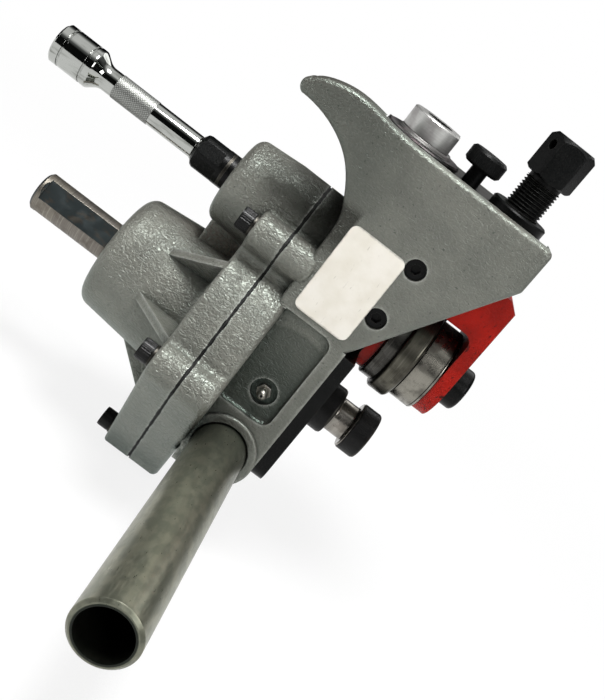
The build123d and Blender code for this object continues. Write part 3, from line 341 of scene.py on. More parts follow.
@dataclass(frozen=True)
class GrimeAndShade:
    """Dirt and painted shade: darker within reach of corners and recesses, in patches."""

    reach_mm: float
    patch_mm: float
    share: float
    start: float = 0.0  # how closed in a place is before it darkens
    low: float = 0.25
    high: float = 0.6
    least: float = 0.35  # the darkening between the patches
    most: float = 1.4  # times the share, in the middle of a patch
    samples: int = 6

    def on(self, s: Surface) -> NodeSocket:
        """Lay the dirt and painted shade on a surface.

        Args:
            s: the surface.

        Returns:
            A mask from zero to one.
        """
        shade = s.add("AmbientOcclusion", {"Distance": self.reach_mm * MM}, "AO", samples=self.samples)
        hollow = s.add("MapRange", {"Value": shade, "From Min": 1.0 - self.start, "From Max": 0.0})
        patch = s.add("MapRange", {"Value": s.grain(self.patch_mm, detail=4), "From Min": self.low,
                                   "From Max": self.high, "To Min": self.least, "To Max": self.share * self.most},
                      interpolation_type="SMOOTHSTEP")
        return s.add("Math", {0: hollow, 1: patch}, operation="MULTIPLY", use_clamp=True)


# Finishes


@dataclass(frozen=True)
class CastEnamel:
    """Stove enamel on a sand casting.

    The paint wrinkles over the sand texture, so lit faces break into short worms of light,
    corners and hollows are darkened with brown dirt and painted shade, and the outward edges are rubbed pale.
    """

    name: str
    colour: str
    deep: str
    dirt_and_shade: str
    bare: str
    roughness: float = 0.36
    smoother: float = 0.06
    rougher: float = 0.08
    metallic: float = 0.0
    gloss: float = 0.5
    shine: str = "#ffffff"
    worm_mm: float = 1.9
    worm_stretch: Triple = (1.5, 1.0, 1.0)
    worm_twist: float = 1.1
    worm_depth_mm: float = 0.36
    worm_low: float = 0.34
    worm_high: float = 0.64
    plain_share: float = 0.38
    # Foundry sand is about 0.25 mm, finer than a pixel of the render, so it is drawn at 1 mm.
    sand_mm: float = 1.0
    sand_depth_mm: float = 0.15
    cloud: Patches = Patches(24, 0.35, 0.68)
    pale_flecks: Patches = Patches(0.8, 0.45, 0.8, 0.14, detail=2)
    dark_flecks: Patches = Patches(1.6, 0.45, 0.75, 0.12, detail=3)
    pits: Patches = Patches(1.7, 0.71, 0.75, 0.55, detail=1)
    # Corners are darkened with dirt and painted shade, and deep hollows with painted shade.
    corner_dirt_and_shade: GrimeAndShade = GrimeAndShade(6, 6, 0.75)
    painted_hollow_shade: GrimeAndShade = GrimeAndShade(40, 20, 1.0, 0.35)
    scuffs: tuple[Patches, ...] = ()
    rims: WornRims = WornRims(3.0, 2.2, 0.55)

    def worm_share(self, s: Surface) -> Value:
        """How high the worms stand: the same all over, on a plain piece."""
        return self.plain_share

    def stains(self, s: Surface) -> list[Coat]:
        """What lies in set places under the rubbed edges: nothing, on a plain piece."""
        return []

    def leaks(self, s: Surface) -> list[Coat]:
        """What lies in set places over the rubbed edges: nothing, on a plain piece."""
        return []

    def sheen(self, s: Surface) -> Value:
        """The tint of the highlights: the same all over, on a plain piece."""
        return linear(self.shine)

    def worms(self, s: Surface) -> NodeSocket:
        """Wrinkle the paint: crooked worms with steep flanks.

        Args:
            s: the surface that they are on.

        Returns:
            The height, from zero in a furrow to one.
        """
        ridge = s.add("MapRange", {"Value": s.grain(self.worm_mm, self.worm_stretch, distortion=self.worm_twist),
                                   "From Min": self.worm_low, "From Max": self.worm_high},
                      interpolation_type="SMOOTHSTEP")
        return s.add("Math", {0: ridge, 1: self.worm_share(s)}, operation="MULTIPLY")

    def material(self) -> Material:
        """Make the material: cloudy colour, dirt and painted shade, rubbed edges and wrinkled paint.

        Returns:
            The material.
        """
        s = Surface(self.name)
        flecks = [(self.pale_flecks.on(s), self.bare), (self.dark_flecks.on(s), self.dirt_and_shade)]
        # Pits and scuffs are dirt; the corner and hollow coats are dirt and painted shade.
        dirt_and_shade = [(mask.on(s), self.dirt_and_shade) for mask in (self.pits, self.corner_dirt_and_shade, self.painted_hollow_shade, *self.scuffs)]
        colour = s.coats(self.deep, (self.cloud.on(s), self.colour), *flecks, *dirt_and_shade, *self.stains(s),
                         (self.rims.on(s), self.bare), *self.leaks(s))
        rough = s.add("MapRange", {"Value": s.grain(self.cloud.size_mm, detail=self.cloud.detail),
                                   "To Min": self.roughness - self.smoother, "To Max": self.roughness + self.rougher})
        normal = s.relief(0.0, (s.grain(self.sand_mm), self.sand_depth_mm), (self.worms(s), self.worm_depth_mm))
        return s.finish(colour, rough, normal, Metallic=self.metallic, Specular_IOR_Level=self.gloss,
                        Specular_Tint=self.sheen(s))


@dataclass(frozen=True)
class GreasyCasting(CastEnamel):
    """The grey castings' enamel, with painted shade and the marks that oil and the foundry left in set places.

    The head is smoother than the case and painted a shade darker, the horn is painted darker and casts a painted
    shadow on the hollow under it, black oil creeps out of the case's joint, and grease lies darkly round its fitting.
    """

    # Every place is in the row frame, as seen on the photograph: X past the case, Z up to the horn, -Y near.
    # Painted shade on the head and, fading out along X, on the horn.
    head_shade_share: float = 0.14
    past_case: Fade = Fade(133.0, 135.0)
    above_case: Fade = Fade(114.0, 120.0, axis=Axis.Z)
    horn_shade_fade: Fade = Fade(125.0, 153.0, 0.36, 0.0)
    # The painted shadow that the horn casts on the case below it.
    horn_shadow_along: Fade = Fade(78.0, 118.0, soft=True)
    horn_shadow_sides: tuple[Fade, ...] = (Fade(76.0, 100.0, axis=Axis.Z, soft=True), Fade(0.0, 20.0, 0.8, 0.0, Axis.Y))
    horn_shadow_grain_mm: float = 14.0
    horn_shadow_push_mm: float = 20.0
    web_colour: str = "#5a4a42"
    web_paint: Patches = Patches(1.6, 0.3, 0.6, 0.75)
    web_sides: tuple[Fade, ...] = (
        Fade(38.0, 44.0, axis=Axis.Z), Fade(50.0, 60.0, 1.0, 0.0, Axis.Z), Fade(90.0, 91.5, 1.0, 0.0),
        Fade(-40.0, -28.0, axis=Axis.Y), Fade(28.0, 40.0, 1.0, 0.0, Axis.Y))
    seam_colour: str = "#080807"
    seam_x_mm: float = 111.0
    seam_reach: Fade = Fade(1.5, 1.9, 1.0, 0.0)
    seam_grain_mm: float = 5.0
    seam_push_mm: float = 1.6
    # The highlight tint in the oil along the joint and in the horn's painted shadow.
    dull_shine: str = "#48534e"
    pocket_sides: tuple[Fade, ...] = (Fade(-49.5, -47.5, axis=Axis.Y), Fade(-41.5, -39.5, 1.0, 0.0, Axis.Y))
    pocket_share: float = 0.6
    fitting_mm: Triple = (151.0, 0.0, 1.6)
    # A ring of grease round the fitting; over the sunk pocket, grease with painted shade.
    grease_ring: Fade = Fade(7.6, 8.8, 0.92, 0.0)
    grease_film: Fade = Fade(7.6, 40.0, 0.85, 0.5)
    grease_end: Fade = Fade(40.0, 42.0, 1.0, 0.0)

    def head(self, s: Surface) -> NodeSocket:
        """The smoother head and its horn, as a mask: what lies past the case, or above it."""
        return s.add("Math", {0: self.past_case.on(s), 1: self.above_case.on(s)}, operation="MAXIMUM")

    def off_head(self, s: Surface) -> NodeSocket:
        """The gear case without the head, as a mask."""
        return s.add("Math", {0: 1.0, 1: self.head(s)}, operation="SUBTRACT")

    def pocket(self, s: Surface) -> NodeSocket:
        """The sunk floor round the grease fitting, as a mask: just behind the skin of the near face."""
        return s.overlap(*[side.on(s) for side in self.pocket_sides])

    def horn_shadow(self, s: Surface) -> NodeSocket:
        """Mark the painted shadow that the horn casts on the case: high on the near side of the case.

        Args:
            s: the surface that it is on.

        Returns:
            A mask from zero to nearly one, zero on the head and the horn.
        """
        along = s.ragged(s.add("SeparateXYZ", {0: s.place}), self.horn_shadow_push_mm * MM, self.horn_shadow_grain_mm)
        return s.overlap(self.horn_shadow_along.on(s, along), *[side.on(s) for side in self.horn_shadow_sides], self.off_head(s))

    def seam(self, s: Surface) -> NodeSocket:
        """Mark the black oil that creeps out of the gasket, along the joint of the case's halves.

        Args:
            s: the surface that it is on.

        Returns:
            A mask from zero to one.
        """
        off = s.add("Math", {0: s.add("SeparateXYZ", {0: s.place}), 1: self.seam_x_mm * MM}, operation="SUBTRACT")
        off = s.add("Math", {0: off}, operation="ABSOLUTE")
        off = s.ragged(off, self.seam_push_mm * MM, self.seam_grain_mm, detail=5)
        return s.overlap(self.seam_reach.on(s, off), self.off_head(s))

    def worm_share(self, s: Surface) -> Value:
        """How high the worms stand: full on the case, low on the head, and never quite gone in the pocket.

        Args:
            s: the surface that they are on.

        Returns:
            A share from zero to one.
        """
        cast = s.add("MapRange", {"Value": self.head(s), "To Min": 1.0, "To Max": self.plain_share})
        sunk = s.add("Math", {0: self.pocket(s), 1: self.pocket_share}, operation="MULTIPLY")
        return s.add("Math", {0: cast, 1: sunk}, operation="MAXIMUM")

    def stains(self, s: Surface) -> list[Coat]:
        """Lay the marks that rubbing has since worn: painted shade on the head and horn, grease and painted shade in
        the pocket, grease round the fitting, the horn's painted shadow, and thin paint on the web.

        Args:
            s: the surface that they are on.

        Returns:
            The coats. The web between the bosses shows the foundry's red through its paint.
        """
        # The head's and the horn's coats are painted shade, the pocket's film is grease and painted shade, the ring is
        # grease.
        head = s.add("MapRange", {"Value": self.head(s), "To Max": self.head_shade_share})
        horn_shade = s.overlap(self.above_case.on(s), self.horn_shade_fade.on(s))
        far = s.off_axis(Axis.Y, self.fitting_mm)
        film = s.overlap(self.grease_film.on(s, far), self.pocket(s), self.grease_end.on(s, far))
        ring = self.grease_ring.on(s, far)
        web = s.overlap(self.web_paint.on(s), *[side.on(s) for side in self.web_sides])
        return [*[(mask, self.dirt_and_shade) for mask in (head, horn_shade, film, ring, self.horn_shadow(s))], (web, self.web_colour)]

    def leaks(self, s: Surface) -> list[Coat]:
        """The oil along the joint, which is fresh and lies over everything."""
        return [(self.seam(s), self.seam_colour)]

    def sheen(self, s: Surface) -> Value:
        """The tint of the highlights, which the oil along the joint and the horn's painted shadow dull.

        Args:
            s: the surface that they are on.

        Returns:
            The tint.
        """
        dull = s.add("Math", {0: self.seam(s), 1: self.horn_shadow(s)}, operation="MAXIMUM")
        return s.coats(self.shine, (dull, self.dull_shine))


@dataclass(frozen=True)
class WorkedMetal:
    """Bare, plated or blackened metal with grain along one way, dirt and painted shade in corners, and rubbed edges.

    The grain spreads highlights along the way that the metal was turned, drawn or ground.
    """

    name: str
    colour: str
    shade: str
    bare: str
    dirt_and_shade: str = "#141312"
    metallic: float = 1.0
    roughness: float = 0.35
    smoother: float = 0.07
    rougher: float = 0.12
    # Tool marks are about 0.1 mm wide, finer than a pixel of the render, so they are drawn at 0.6 mm.
    grain_mm: float = 0.6
    stretch: Triple = EVEN
    depth_mm: float = 0.02
    edge_mm: float = 0.3
    rim_mm: float = 0.5
    rim_patch_mm: float = 1.0
    rub: float = 0.6
    dirt_and_shade_share: float = 0.7
    dirt_and_shade_reach_mm: float = 4.0
    patch_mm: float = 12.0
    patch_stretch: Triple = EVEN
    gloss: float = 0.5

    def film(self, s: Surface) -> list[Coat]:
        """What lies over the finish in set places: nothing, on most pieces."""
        return []

    def material(self) -> Material:
        """Make the material: patches, grain, dirt and painted shade, rubbed edges and what lies over them.

        Returns:
            The material.
        """
        s = Surface(self.name)
        patches = Patches(self.patch_mm, low=0.38, high=0.62, stretch=self.patch_stretch, detail=5)
        streaks = Patches(self.grain_mm, low=0.5, high=0.85, share=0.3, stretch=self.stretch, detail=3)
        # The corner coat is dirt and painted shade.
        colour = s.coats(self.shade, (patches.on(s), self.colour), (streaks.on(s), self.bare),
                         (GrimeAndShade(self.dirt_and_shade_reach_mm, self.patch_mm, self.dirt_and_shade_share).on(s), self.dirt_and_shade),
                         (WornRims(self.rim_mm, self.rim_patch_mm, self.rub).on(s), self.bare), *self.film(s))
        grain = s.grain(self.grain_mm, self.stretch, detail=3)
        rough = s.add("MapRange", {"Value": grain, "From Min": 0.25, "From Max": 0.75,
                                   "To Min": self.roughness - self.smoother, "To Max": self.roughness + self.rougher})
        return s.finish(colour, rough, s.relief(self.edge_mm, (grain, self.depth_mm)), Metallic=self.metallic,
                        Specular_IOR_Level=self.gloss)


@dataclass(frozen=True)
class OiledPipe(WorkedMetal):
    """Mill finish steel pipe that rests in a greasy collar.

    It is darker toward its root, in streaks from there, and painted shade makes its bore nearly black and dulls its
    cut end.
    """

    axis_mm: Triple = (151.0, 0.0, -42.0)
    # The bore and the cut end are darkened as painted shade.
    bore_shade: Fade = Fade(14.2, 14.6, 0.93, 0.0)
    painted_bore_shade: str = "#0c0f0d"
    root: Fade = Fade(-110.0, -35.0, 0.0, 0.62)
    root_grain_mm: float = 14.0
    root_streak: Triple = (1.0, 3.0, 1.0)
    root_push_mm: float = 50.0
    cut_end_shade: Fade = Fade(-240.4, -239.8, 0.35, 0.0, Axis.Y)

    def film(self, s: Surface) -> list[Coat]:
        """Lay the darkening at the root, the painted shade in the bore and the painted shade on the cut end.

        Args:
            s: the surface that they are on.

        Returns:
            The three coats.
        """
        along = s.ragged(s.add("SeparateXYZ", {0: s.place}, Axis.Y.value), self.root_push_mm * MM,
                         self.root_grain_mm, self.root_streak)
        bore_shade = self.bore_shade.on(s, s.off_axis(Axis.Y, self.axis_mm))
        return [(self.root.on(s, along), self.dirt_and_shade), (bore_shade, self.painted_bore_shade), (self.cut_end_shade.on(s), self.dirt_and_shade)]


@dataclass(frozen=True)
class Band:
    """A stretch of a turned piece with its own look, from its start to the next band's."""

    start_mm: float
    colour: str
    roughness: float


@dataclass(frozen=True)
class BandedSteel:
    """Turned metal with stretches that are blackened, ground or rubbed bright by work.

    Each stretch keeps its own colour and gloss, and fine rings from turning run round it.
    """

    name: str
    bands: tuple[Band, ...]
    end_mm: float
    axis: Axis = Axis.X
    stain: str = "#2f2b26"
    bare: str = "#b5b1a7"
    metallic: float = 0.9
    stain_share: float = 0.4
    stain_mm: float = 7.0
    stain_roughness: float = 0.4
    dirt_and_shade: str = "#11100f"
    # Corners are darkened with dirt and painted shade.
    corner_dirt_and_shade: GrimeAndShade = GrimeAndShade(5, 4, 0.85)
    rims: WornRims = WornRims(0.6, 1.2, 0.6)
    # Turning leaves rings about 0.1 mm apart, finer than a pixel of the render, so they are drawn at 0.35 mm.
    ring_mm: float = 0.35
    ring_length: float = 60.0
    ring_depth_mm: float = 0.012
    edge_mm: float = 0.3
    flat_colour: str = ""
    flat_rub: Patches = Patches(3.5, 0.5, 0.66, 0.5, (2, 1, 1), 6)
    flat_radius_mm: float = 12.55
    flat_end_mm: float = 30.0

    def milled_flats(self, s: Surface) -> NodeSocket:
        """Mark the milled flats: what lies nearer the axis than the round shank.

        Args:
            s: the surface that they are on.

        Returns:
            One on the flats, and zero elsewhere.
        """
        along = s.add("SeparateXYZ", {0: s.place}, self.axis.value)
        inner = s.add("Math", {0: s.off_axis(self.axis), 1: self.flat_radius_mm * MM}, operation="LESS_THAN")
        before = s.add("Math", {0: along, 1: self.flat_end_mm * MM}, operation="LESS_THAN")
        return s.overlap(inner, before)

    def material(self) -> Material:
        """Make the material from its bands, with milled flats where it has them.

        Returns:
            The material.
        """
        s = Surface(self.name)
        start = self.bands[0].start_mm
        share = Fade(start, self.end_mm, axis=self.axis).on(s)
        places = [(band.start_mm - start) / (self.end_mm - start) for band in self.bands]
        base = s.add("ValToRGB", {0: share}, stops=[(p, b.colour) for p, b in zip(places, self.bands)])
        gloss = s.add("ValToRGB", {0: share}, stops=[(p, b.roughness) for p, b in zip(places, self.bands)])
        for ramp in (base.node.color_ramp, gloss.node.color_ramp):
            ramp.interpolation = "CONSTANT"
        around = tuple(1.0 if axis is self.axis else self.ring_length for axis in Axis)
        rings = Patches(self.ring_mm, low=0.45, high=0.8, share=0.3, stretch=around, detail=2)
        stain = Patches(self.stain_mm, low=0.45, high=0.7, share=self.stain_share, detail=5).on(s)
        coats = [(rings.on(s), self.bare), (stain, self.stain)]
        if self.flat_colour:
            flats = self.milled_flats(s)
            coats += [(flats, self.flat_colour), (s.overlap(flats, self.flat_rub.on(s)), self.stain)]
        coats += [(self.corner_dirt_and_shade.on(s), self.dirt_and_shade), (self.rims.on(s), self.bare)]
        rough = s.add("Math", {0: stain, 1: self.stain_roughness, 2: gloss}, operation="MULTIPLY_ADD")
        normal = s.relief(self.edge_mm, (s.grain(self.ring_mm, around), self.ring_depth_mm))
        return s.finish(s.coats(base, *coats), rough, normal, Metallic=self.metallic)


@dataclass(frozen=True)
class KnurledChrome:
    """Polished chrome plate with a rolled diamond knurl on the grip.

    The plate mirrors the room in hard stripes, and the knurl breaks that mirror into grey glitter.
    """

    name: str
    axis_z_mm: float
    knurl_start_mm: float
    knurl_end_mm: float
    colour: str = "#b2b4b0"
    haze: str = "#858782"
    dirt_and_shade: str = "#3c3c3a"
    streaks: Patches = Patches(3, 0.5, 0.75, 1.0, (6, 1, 1), 5)
    corner_dirt_and_shade: GrimeAndShade = GrimeAndShade(2, 3, 0.8)
    roughness: float = 0.06
    haze_roughness: float = 0.05
    grip_roughness: float = 0.46
    # The real diamonds are about 1 mm, which the render would blur, so they are drawn at 1.6 mm.
    count: int = 30
    pitch_mm: float = 1.6
    knurl_depth_mm: float = 0.08
    edge_mm: float = 0.2
    groove_low: float = 0.05
    groove_high: float = 0.3
    groove_share: float = 0.75

    def diamonds(self, s: Surface) -> NodeSocket:
        """Cross two sets of grooves round the bar.

        Args:
            s: the surface that they are on.

        Returns:
            The height, from zero in a groove to a half on a diamond.
        """
        along, side, high = [s.add("SeparateXYZ", {0: s.place}, axis.value) for axis in Axis]
        rise = s.add("Math", {0: high, 1: self.axis_z_mm * MM}, operation="SUBTRACT")
        angle = s.add("Math", {0: rise, 1: side}, operation="ARCTAN2")
        turn = s.add("Math", {0: angle, 1: self.count / math.tau}, operation="MULTIPLY")
        run = s.add("Math", {0: along, 1: self.pitch_mm * MM}, operation="DIVIDE")
        sets = [s.add("Math", {0: s.add("Math", {0: turn, 1: run}, operation=way), 1: 0.5}, operation="PINGPONG")
                for way in ("ADD", "SUBTRACT")]
        return s.add("Math", {0: sets[0], 1: sets[1]}, operation="MINIMUM")

    def grip(self, s: Surface) -> NodeSocket:
        """Mark the length that is knurled.

        Args:
            s: the surface that it is on.

        Returns:
            One on the grip, and zero elsewhere.
        """
        along = s.add("SeparateXYZ", {0: s.place})
        begun = s.add("Math", {0: along, 1: self.knurl_start_mm * MM}, operation="GREATER_THAN")
        unended = s.add("Math", {0: along, 1: self.knurl_end_mm * MM}, operation="LESS_THAN")
        return s.overlap(begun, unended)

    def material(self) -> Material:
        """Make the material: mirror plate, hazy streaks and the knurl, its grooves darkened as dirt and painted shade.

        Returns:
            The material.
        """
        s = Surface(self.name)
        grip = self.grip(s)
        height = s.overlap(self.diamonds(s), grip)
        # The knurl's grooves are painted darker, as dirt and painted shade.
        groove = s.add("MapRange", {"Value": height, "From Min": self.groove_low, "From Max": self.groove_high,
                                    "To Min": self.groove_share, "To Max": 0.0})
        haze = self.streaks.on(s)
        colour = s.coats(self.colour, (haze, self.haze), (s.overlap(groove, grip), self.dirt_and_shade),
                         (self.corner_dirt_and_shade.on(s), self.dirt_and_shade))
        rough = s.add("Math", {0: haze, 1: self.haze_roughness, 2: self.roughness}, operation="MULTIPLY_ADD")
        rough = s.add("Math", {0: grip, 1: self.grip_roughness, 2: rough}, operation="MULTIPLY_ADD")
        return s.finish(colour, rough, s.relief(self.edge_mm, (height, self.knurl_depth_mm)), Metallic=1.0)


@dataclass(frozen=True)
class VinylSheet:
    """Blank vinyl, once white: slightly yellowed, scuffed, and dirty along its edge."""

    name: str
    colour: str = "#dfdbd2"
    yellowed: str = "#d5d0c4"
    scuffed: str = "#8d877b"
    dirt_and_shade: str = "#6a655b"
    ageing: Patches = Patches(14, 0.3, 0.7)
    scuffs: Patches = Patches(1.2, 0.66, 0.72, 0.4, (1, 1, 5))
    centre_mm: Triple = (150.9, -50.0, 82.9)
    half_mm: Triple = (17.7, 5.0, 28.3)
    border_from: float = 0.99
    border_full: float = 1.03
    border_share: float = 0.6
    border_push: float = 0.06
    border_grain_mm: float = 1.5
    smoothest: float = 0.28
    dullest: float = 0.44
    ripple_mm: float = 2.5
    ripple_depth_mm: float = 0.05
    edge_mm: float = 0.1
    ior: float = 1.5

    def border(self, s: Surface) -> NodeSocket:
        """Mark the dirty border: what lies far from the middle, across or along.

        Args:
            s: the surface that it is on.

        Returns:
            A mask from zero to about a half.
        """
        place = s.add("VectorMath", {0: s.place, 1: Vector(self.centre_mm) * MM}, operation="SUBTRACT")
        place = s.add("VectorMath", {0: place, 1: Vector(self.half_mm) * MM}, operation="DIVIDE")
        place = s.add("VectorMath", {0: place}, operation="ABSOLUTE")
        out = s.add("Math", {0: s.add("SeparateXYZ", {0: place}), 1: s.add("SeparateXYZ", {0: place}, 2)},
                    operation="MAXIMUM")
        ragged = s.ragged(out, self.border_push, self.border_grain_mm, detail=3)
        return s.add("MapRange", {"Value": ragged, "From Min": self.border_from, "From Max": self.border_full,
                                  "To Max": self.border_share})

    def material(self) -> Material:
        """Make the material: yellowing, scuffs and edge dirt.

        Returns:
            The material.
        """
        s = Surface(self.name)
        colour = s.coats(self.yellowed, (self.ageing.on(s), self.colour), (self.scuffs.on(s), self.scuffed),
                         (self.border(s), self.dirt_and_shade))
        rough = s.add("MapRange", {"Value": s.grain(self.ageing.size_mm, detail=self.ageing.detail),
                                   "To Min": self.smoothest, "To Max": self.dullest})
        ripple = s.grain(self.ripple_mm, detail=3)
        return s.finish(colour, rough, s.relief(self.edge_mm, (ripple, self.ripple_depth_mm)), IOR=self.ior)


@dataclass(frozen=True)
class SoftRubber:
    """Moulded black rubber or fibre: matt, a little dusty."""

    name: str
    colour: str = "#0d0d0d"
    dust: str = "#3a3835"
    dusting: Patches = Patches(3, 0.45, 0.75, 0.3)
    roughness: float = 0.75
    grain_mm: float = 0.5
    grain_depth_mm: float = 0.02
    edge_mm: float = 0.2

    def material(self) -> Material:
        """Make the material: matt black under thin dust.

        Returns:
            The material.
        """
        s = Surface(self.name)
        colour = s.coats(self.colour, (self.dusting.on(s), self.dust))
        return s.finish(colour, self.roughness, s.relief(self.edge_mm, (s.grain(self.grain_mm), self.grain_depth_mm)))


@dataclass(frozen=True)
class FinishRack:
    """Every finish of the tool, each made once."""

    # Silver-grey stove enamel on cast aluminium: wrinkled, with cool highlights and a metal flake's depth.
    # Its third colour paints dirt and painted shade.
    grey_enamel: GreasyCasting = GreasyCasting("grey_stove_enamel", "#74726b", "#686660", "#1c1a17", "#aaaba5",
                                               metallic=0.3, gloss=1.0, shine="#d3efe2")
    # Red stove enamel on cast iron: finer wrinkles, little gloss, and black scuffs where rolls and hands rub.
    red_enamel: CastEnamel = CastEnamel("red_stove_enamel", "#ae1607", "#8f1206", "#160c0a", "#3d332d", 0.45,
                                        gloss=0.14, plain_share=0.8, worm_depth_mm=0.12,
                                        scuffs=(Patches(3, 0.6, 0.7, 0.85, (1, 1, 2), 6),),
                                        rims=WornRims(0.8, 2.2, 0.5))
    # Steel with a black oxide coat, oiled: nearly black, with thin grey edges.
    black_steel: WorkedMetal = WorkedMetal("black_oxide_steel", "#0a0b0b", "#060707", "#383834", metallic=0.0,
                                           roughness=0.3, rub=0.5, dirt_and_shade_share=0.3, gloss=0.12)
    # Ground steel plate gone dark: long dull streaks along the grinding.
    dark_plate: WorkedMetal = WorkedMetal("dark_ground_plate", "#393836", "#2c2b29", "#6c6a64", roughness=0.5,
                                          stretch=(8, 1, 1), patch_mm=9, patch_stretch=(3, 1, 1))
    # Knurled steel with black oxide: each tooth catches a short dark glint.
    knurled_black: WorkedMetal = WorkedMetal("knurled_black_steel", "#0b0b0b", "#060606", "#2a2926", metallic=0.0,
                                             roughness=0.28, rub=0.0, dirt_and_shade_share=0.2, gloss=0.25)
    # Zinc plate on steel: soft grey shine, dulled in patches.
    zinc_steel: WorkedMetal = WorkedMetal("zinc_plate", "#9c9a92", "#77756d", "#c5c3bb", roughness=0.34,
                                          dirt_and_shade="#2a2824")
    # Zinc plate under a film of oil: the same, much darker.
    dirty_zinc: WorkedMetal = WorkedMetal("oiled_zinc_plate", "#4a4843", "#33312d", "#6e6b64", roughness=0.4)
    # Drawn steel pipe with its mill finish: long highlights, olive from oil.
    # Its dark colour paints the root, and the painted shade in the bore and on the cut end.
    tube_steel: OiledPipe = OiledPipe("mill_finish_pipe", "#8e8e7d", "#7c7e6f", "#a5a597", dirt_and_shade="#1a231d",
                                      metallic=0.8, roughness=0.33, grain_mm=0.9, stretch=(1, 6, 1), rim_mm=0.8,
                                      rub=0.1, patch_mm=5, patch_stretch=(1, 2, 1), dirt_and_shade_share=0.6)
    # Hardened and ground steel: even and bright.
    bearing_steel: WorkedMetal = WorkedMetal("ground_bearing_steel", "#b4b4b0", "#9a9a96", "#d0d0cc", roughness=0.25)
    # Machined bronze: warm yellow-brown with fine tool marks.
    bronze: WorkedMetal = WorkedMetal("bearing_bronze", "#a87c45", "#87602f", "#cfa56b", roughness=0.35)
    # Cut steel in gear oil: grey with dark corners.
    gear_steel: WorkedMetal = WorkedMetal("oiled_gear_steel", "#7f7d77", "#5f5d57", "#a9a7a0", roughness=0.35)
    # Moulded rubber and gasket fibre: matt black.
    seal_rubber: SoftRubber = SoftRubber("seal_rubber")
    # Polished chrome on the hand-drive bar: a mirror, grey on the knurled grip.
    chrome: KnurledChrome = KnurledChrome("chrome_plate", 79.0, -21.6, 3.8)
    # Turned aluminium: a bright hub over a black foot, with the flare between painted dark grey as painted shade.
    turned_aluminium: BandedSteel = BandedSteel("turned_aluminium", (
        Band(157.0, "#0e0f0e", 0.45), Band(161.1, "#4b4a48", 0.5), Band(163.3, "#c4c4c1", 0.3),
        Band(174.4, "#bdbdba", 0.34)), 175.0, Axis.Z, "#7d6f72", "#f0f0ed", 0.8, 0.34)
    # Turned steel shaft: brownish shank with dark milled flats, black lands and a bright rubbed neck.
    drive_steel: BandedSteel = BandedSteel("drive_shaft_steel", (
        Band(-27.0, "#7a756c", 0.4), Band(-10.0, "#746f68", 0.38), Band(30.0, "#6c6861", 0.36),
        Band(181.0, "#0b0c0c", 0.5), Band(194.4, "#8f8b84", 0.18), Band(207.2, "#0b0c0c", 0.5)),
        220.5, Axis.X, "#4d443a", "#c9c5bb", 0.9, 0.36, flat_colour="#363c3d")
    # Hardened roll, rubbed by pipe: bright worn rings between dark oily ones.
    roll_steel: BandedSteel = BandedSteel("groove_roll_steel", (
        Band(188.8, "#42413e", 0.24), Band(197.3, "#56544b", 0.3), Band(209.9, "#1c1b19", 0.4),
        Band(210.9, "#8a877e", 0.24), Band(223.9, "#1f1e1c", 0.3), Band(224.5, "#8b8880", 0.25)),
        226.0, Axis.X, "#221f1c", "#a19e95", 1.0, 0.5)
    # Vinyl sheet, once white: a soft even shine with a dirty edge.
    vinyl: VinylSheet = VinylSheet("blank_vinyl_plate")

    def make(self) -> Rack:
        """Make each finish's material, keyed by its name here."""
        return {each.name: getattr(self, each.name).material() for each in fields(self)}


# Meshes


def piece_from(bm: bmesh.types.BMesh, name: str, body: Body, material: Material,
               smooth_deg: float = 35.0) -> Object:
    """Turn a finished bmesh into a piece that rides on a body.

    Args:
        bm: the mesh, in metres and in place.
        name: the piece's name.
        body: what it rides on.
        material: its finish.
        smooth_deg: edges sharper than this stay sharp.

    Returns:
        The new object, with its origin at the frame's.
    """
    for edge in bm.edges:
        edge.smooth = len(edge.link_faces) == 2 and edge.calc_face_angle(math.pi) < math.radians(smooth_deg)
    for face in bm.faces:
        face.smooth = True
    mesh = bpy.data.meshes.new(name)
    bm.to_mesh(mesh)
    bm.free()
    mesh.materials.append(material)
    made = bpy.data.objects.new(name, mesh)
    bpy.context.scene.collection.objects.link(made)
    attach(made, body.value)
    return made


def cut_away(bm: bmesh.types.BMesh, height_mm: float, above: bool) -> None:
    """Cut a mesh level at a height, drop one side and close the cut.

    Args:
        bm: the mesh that is cut.
        height_mm: where the cut lies.
        above: whether what lies above goes, and not what lies below.
    """
    geometry = bm.verts[:] + bm.edges[:] + bm.faces[:]
    bmesh.ops.bisect_plane(bm, geom=geometry, dist=CUT_M, plane_co=(0, 0, height_mm * MM), plane_no=(0, 0, 1),
                           clear_outer=above, clear_inner=not above)
    bmesh.ops.holes_fill(bm, edges=[e for e in bm.edges if e.is_boundary], sides=0)


def join(whole: bmesh.types.BMesh, part: bmesh.types.BMesh) -> None:
    """Add a mesh to another one, and let it go.

    Args:
        whole: the mesh that takes it.
        part: the mesh that is added.
    """
    spare = bpy.data.meshes.new("joined_part")
    part.to_mesh(spare)
    part.free()
    whole.from_mesh(spare)
    bpy.data.meshes.remove(spare)


def dress(nodes: Iterable[str], material: Material) -> None:
    """Give CAD nodes their finish, and leave their meshes alone.

    Args:
        nodes: the nodes' names.
        material: the finish.
    """
    for name in nodes:
        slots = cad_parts[name].data.materials
        slots.clear()
        slots.append(material)


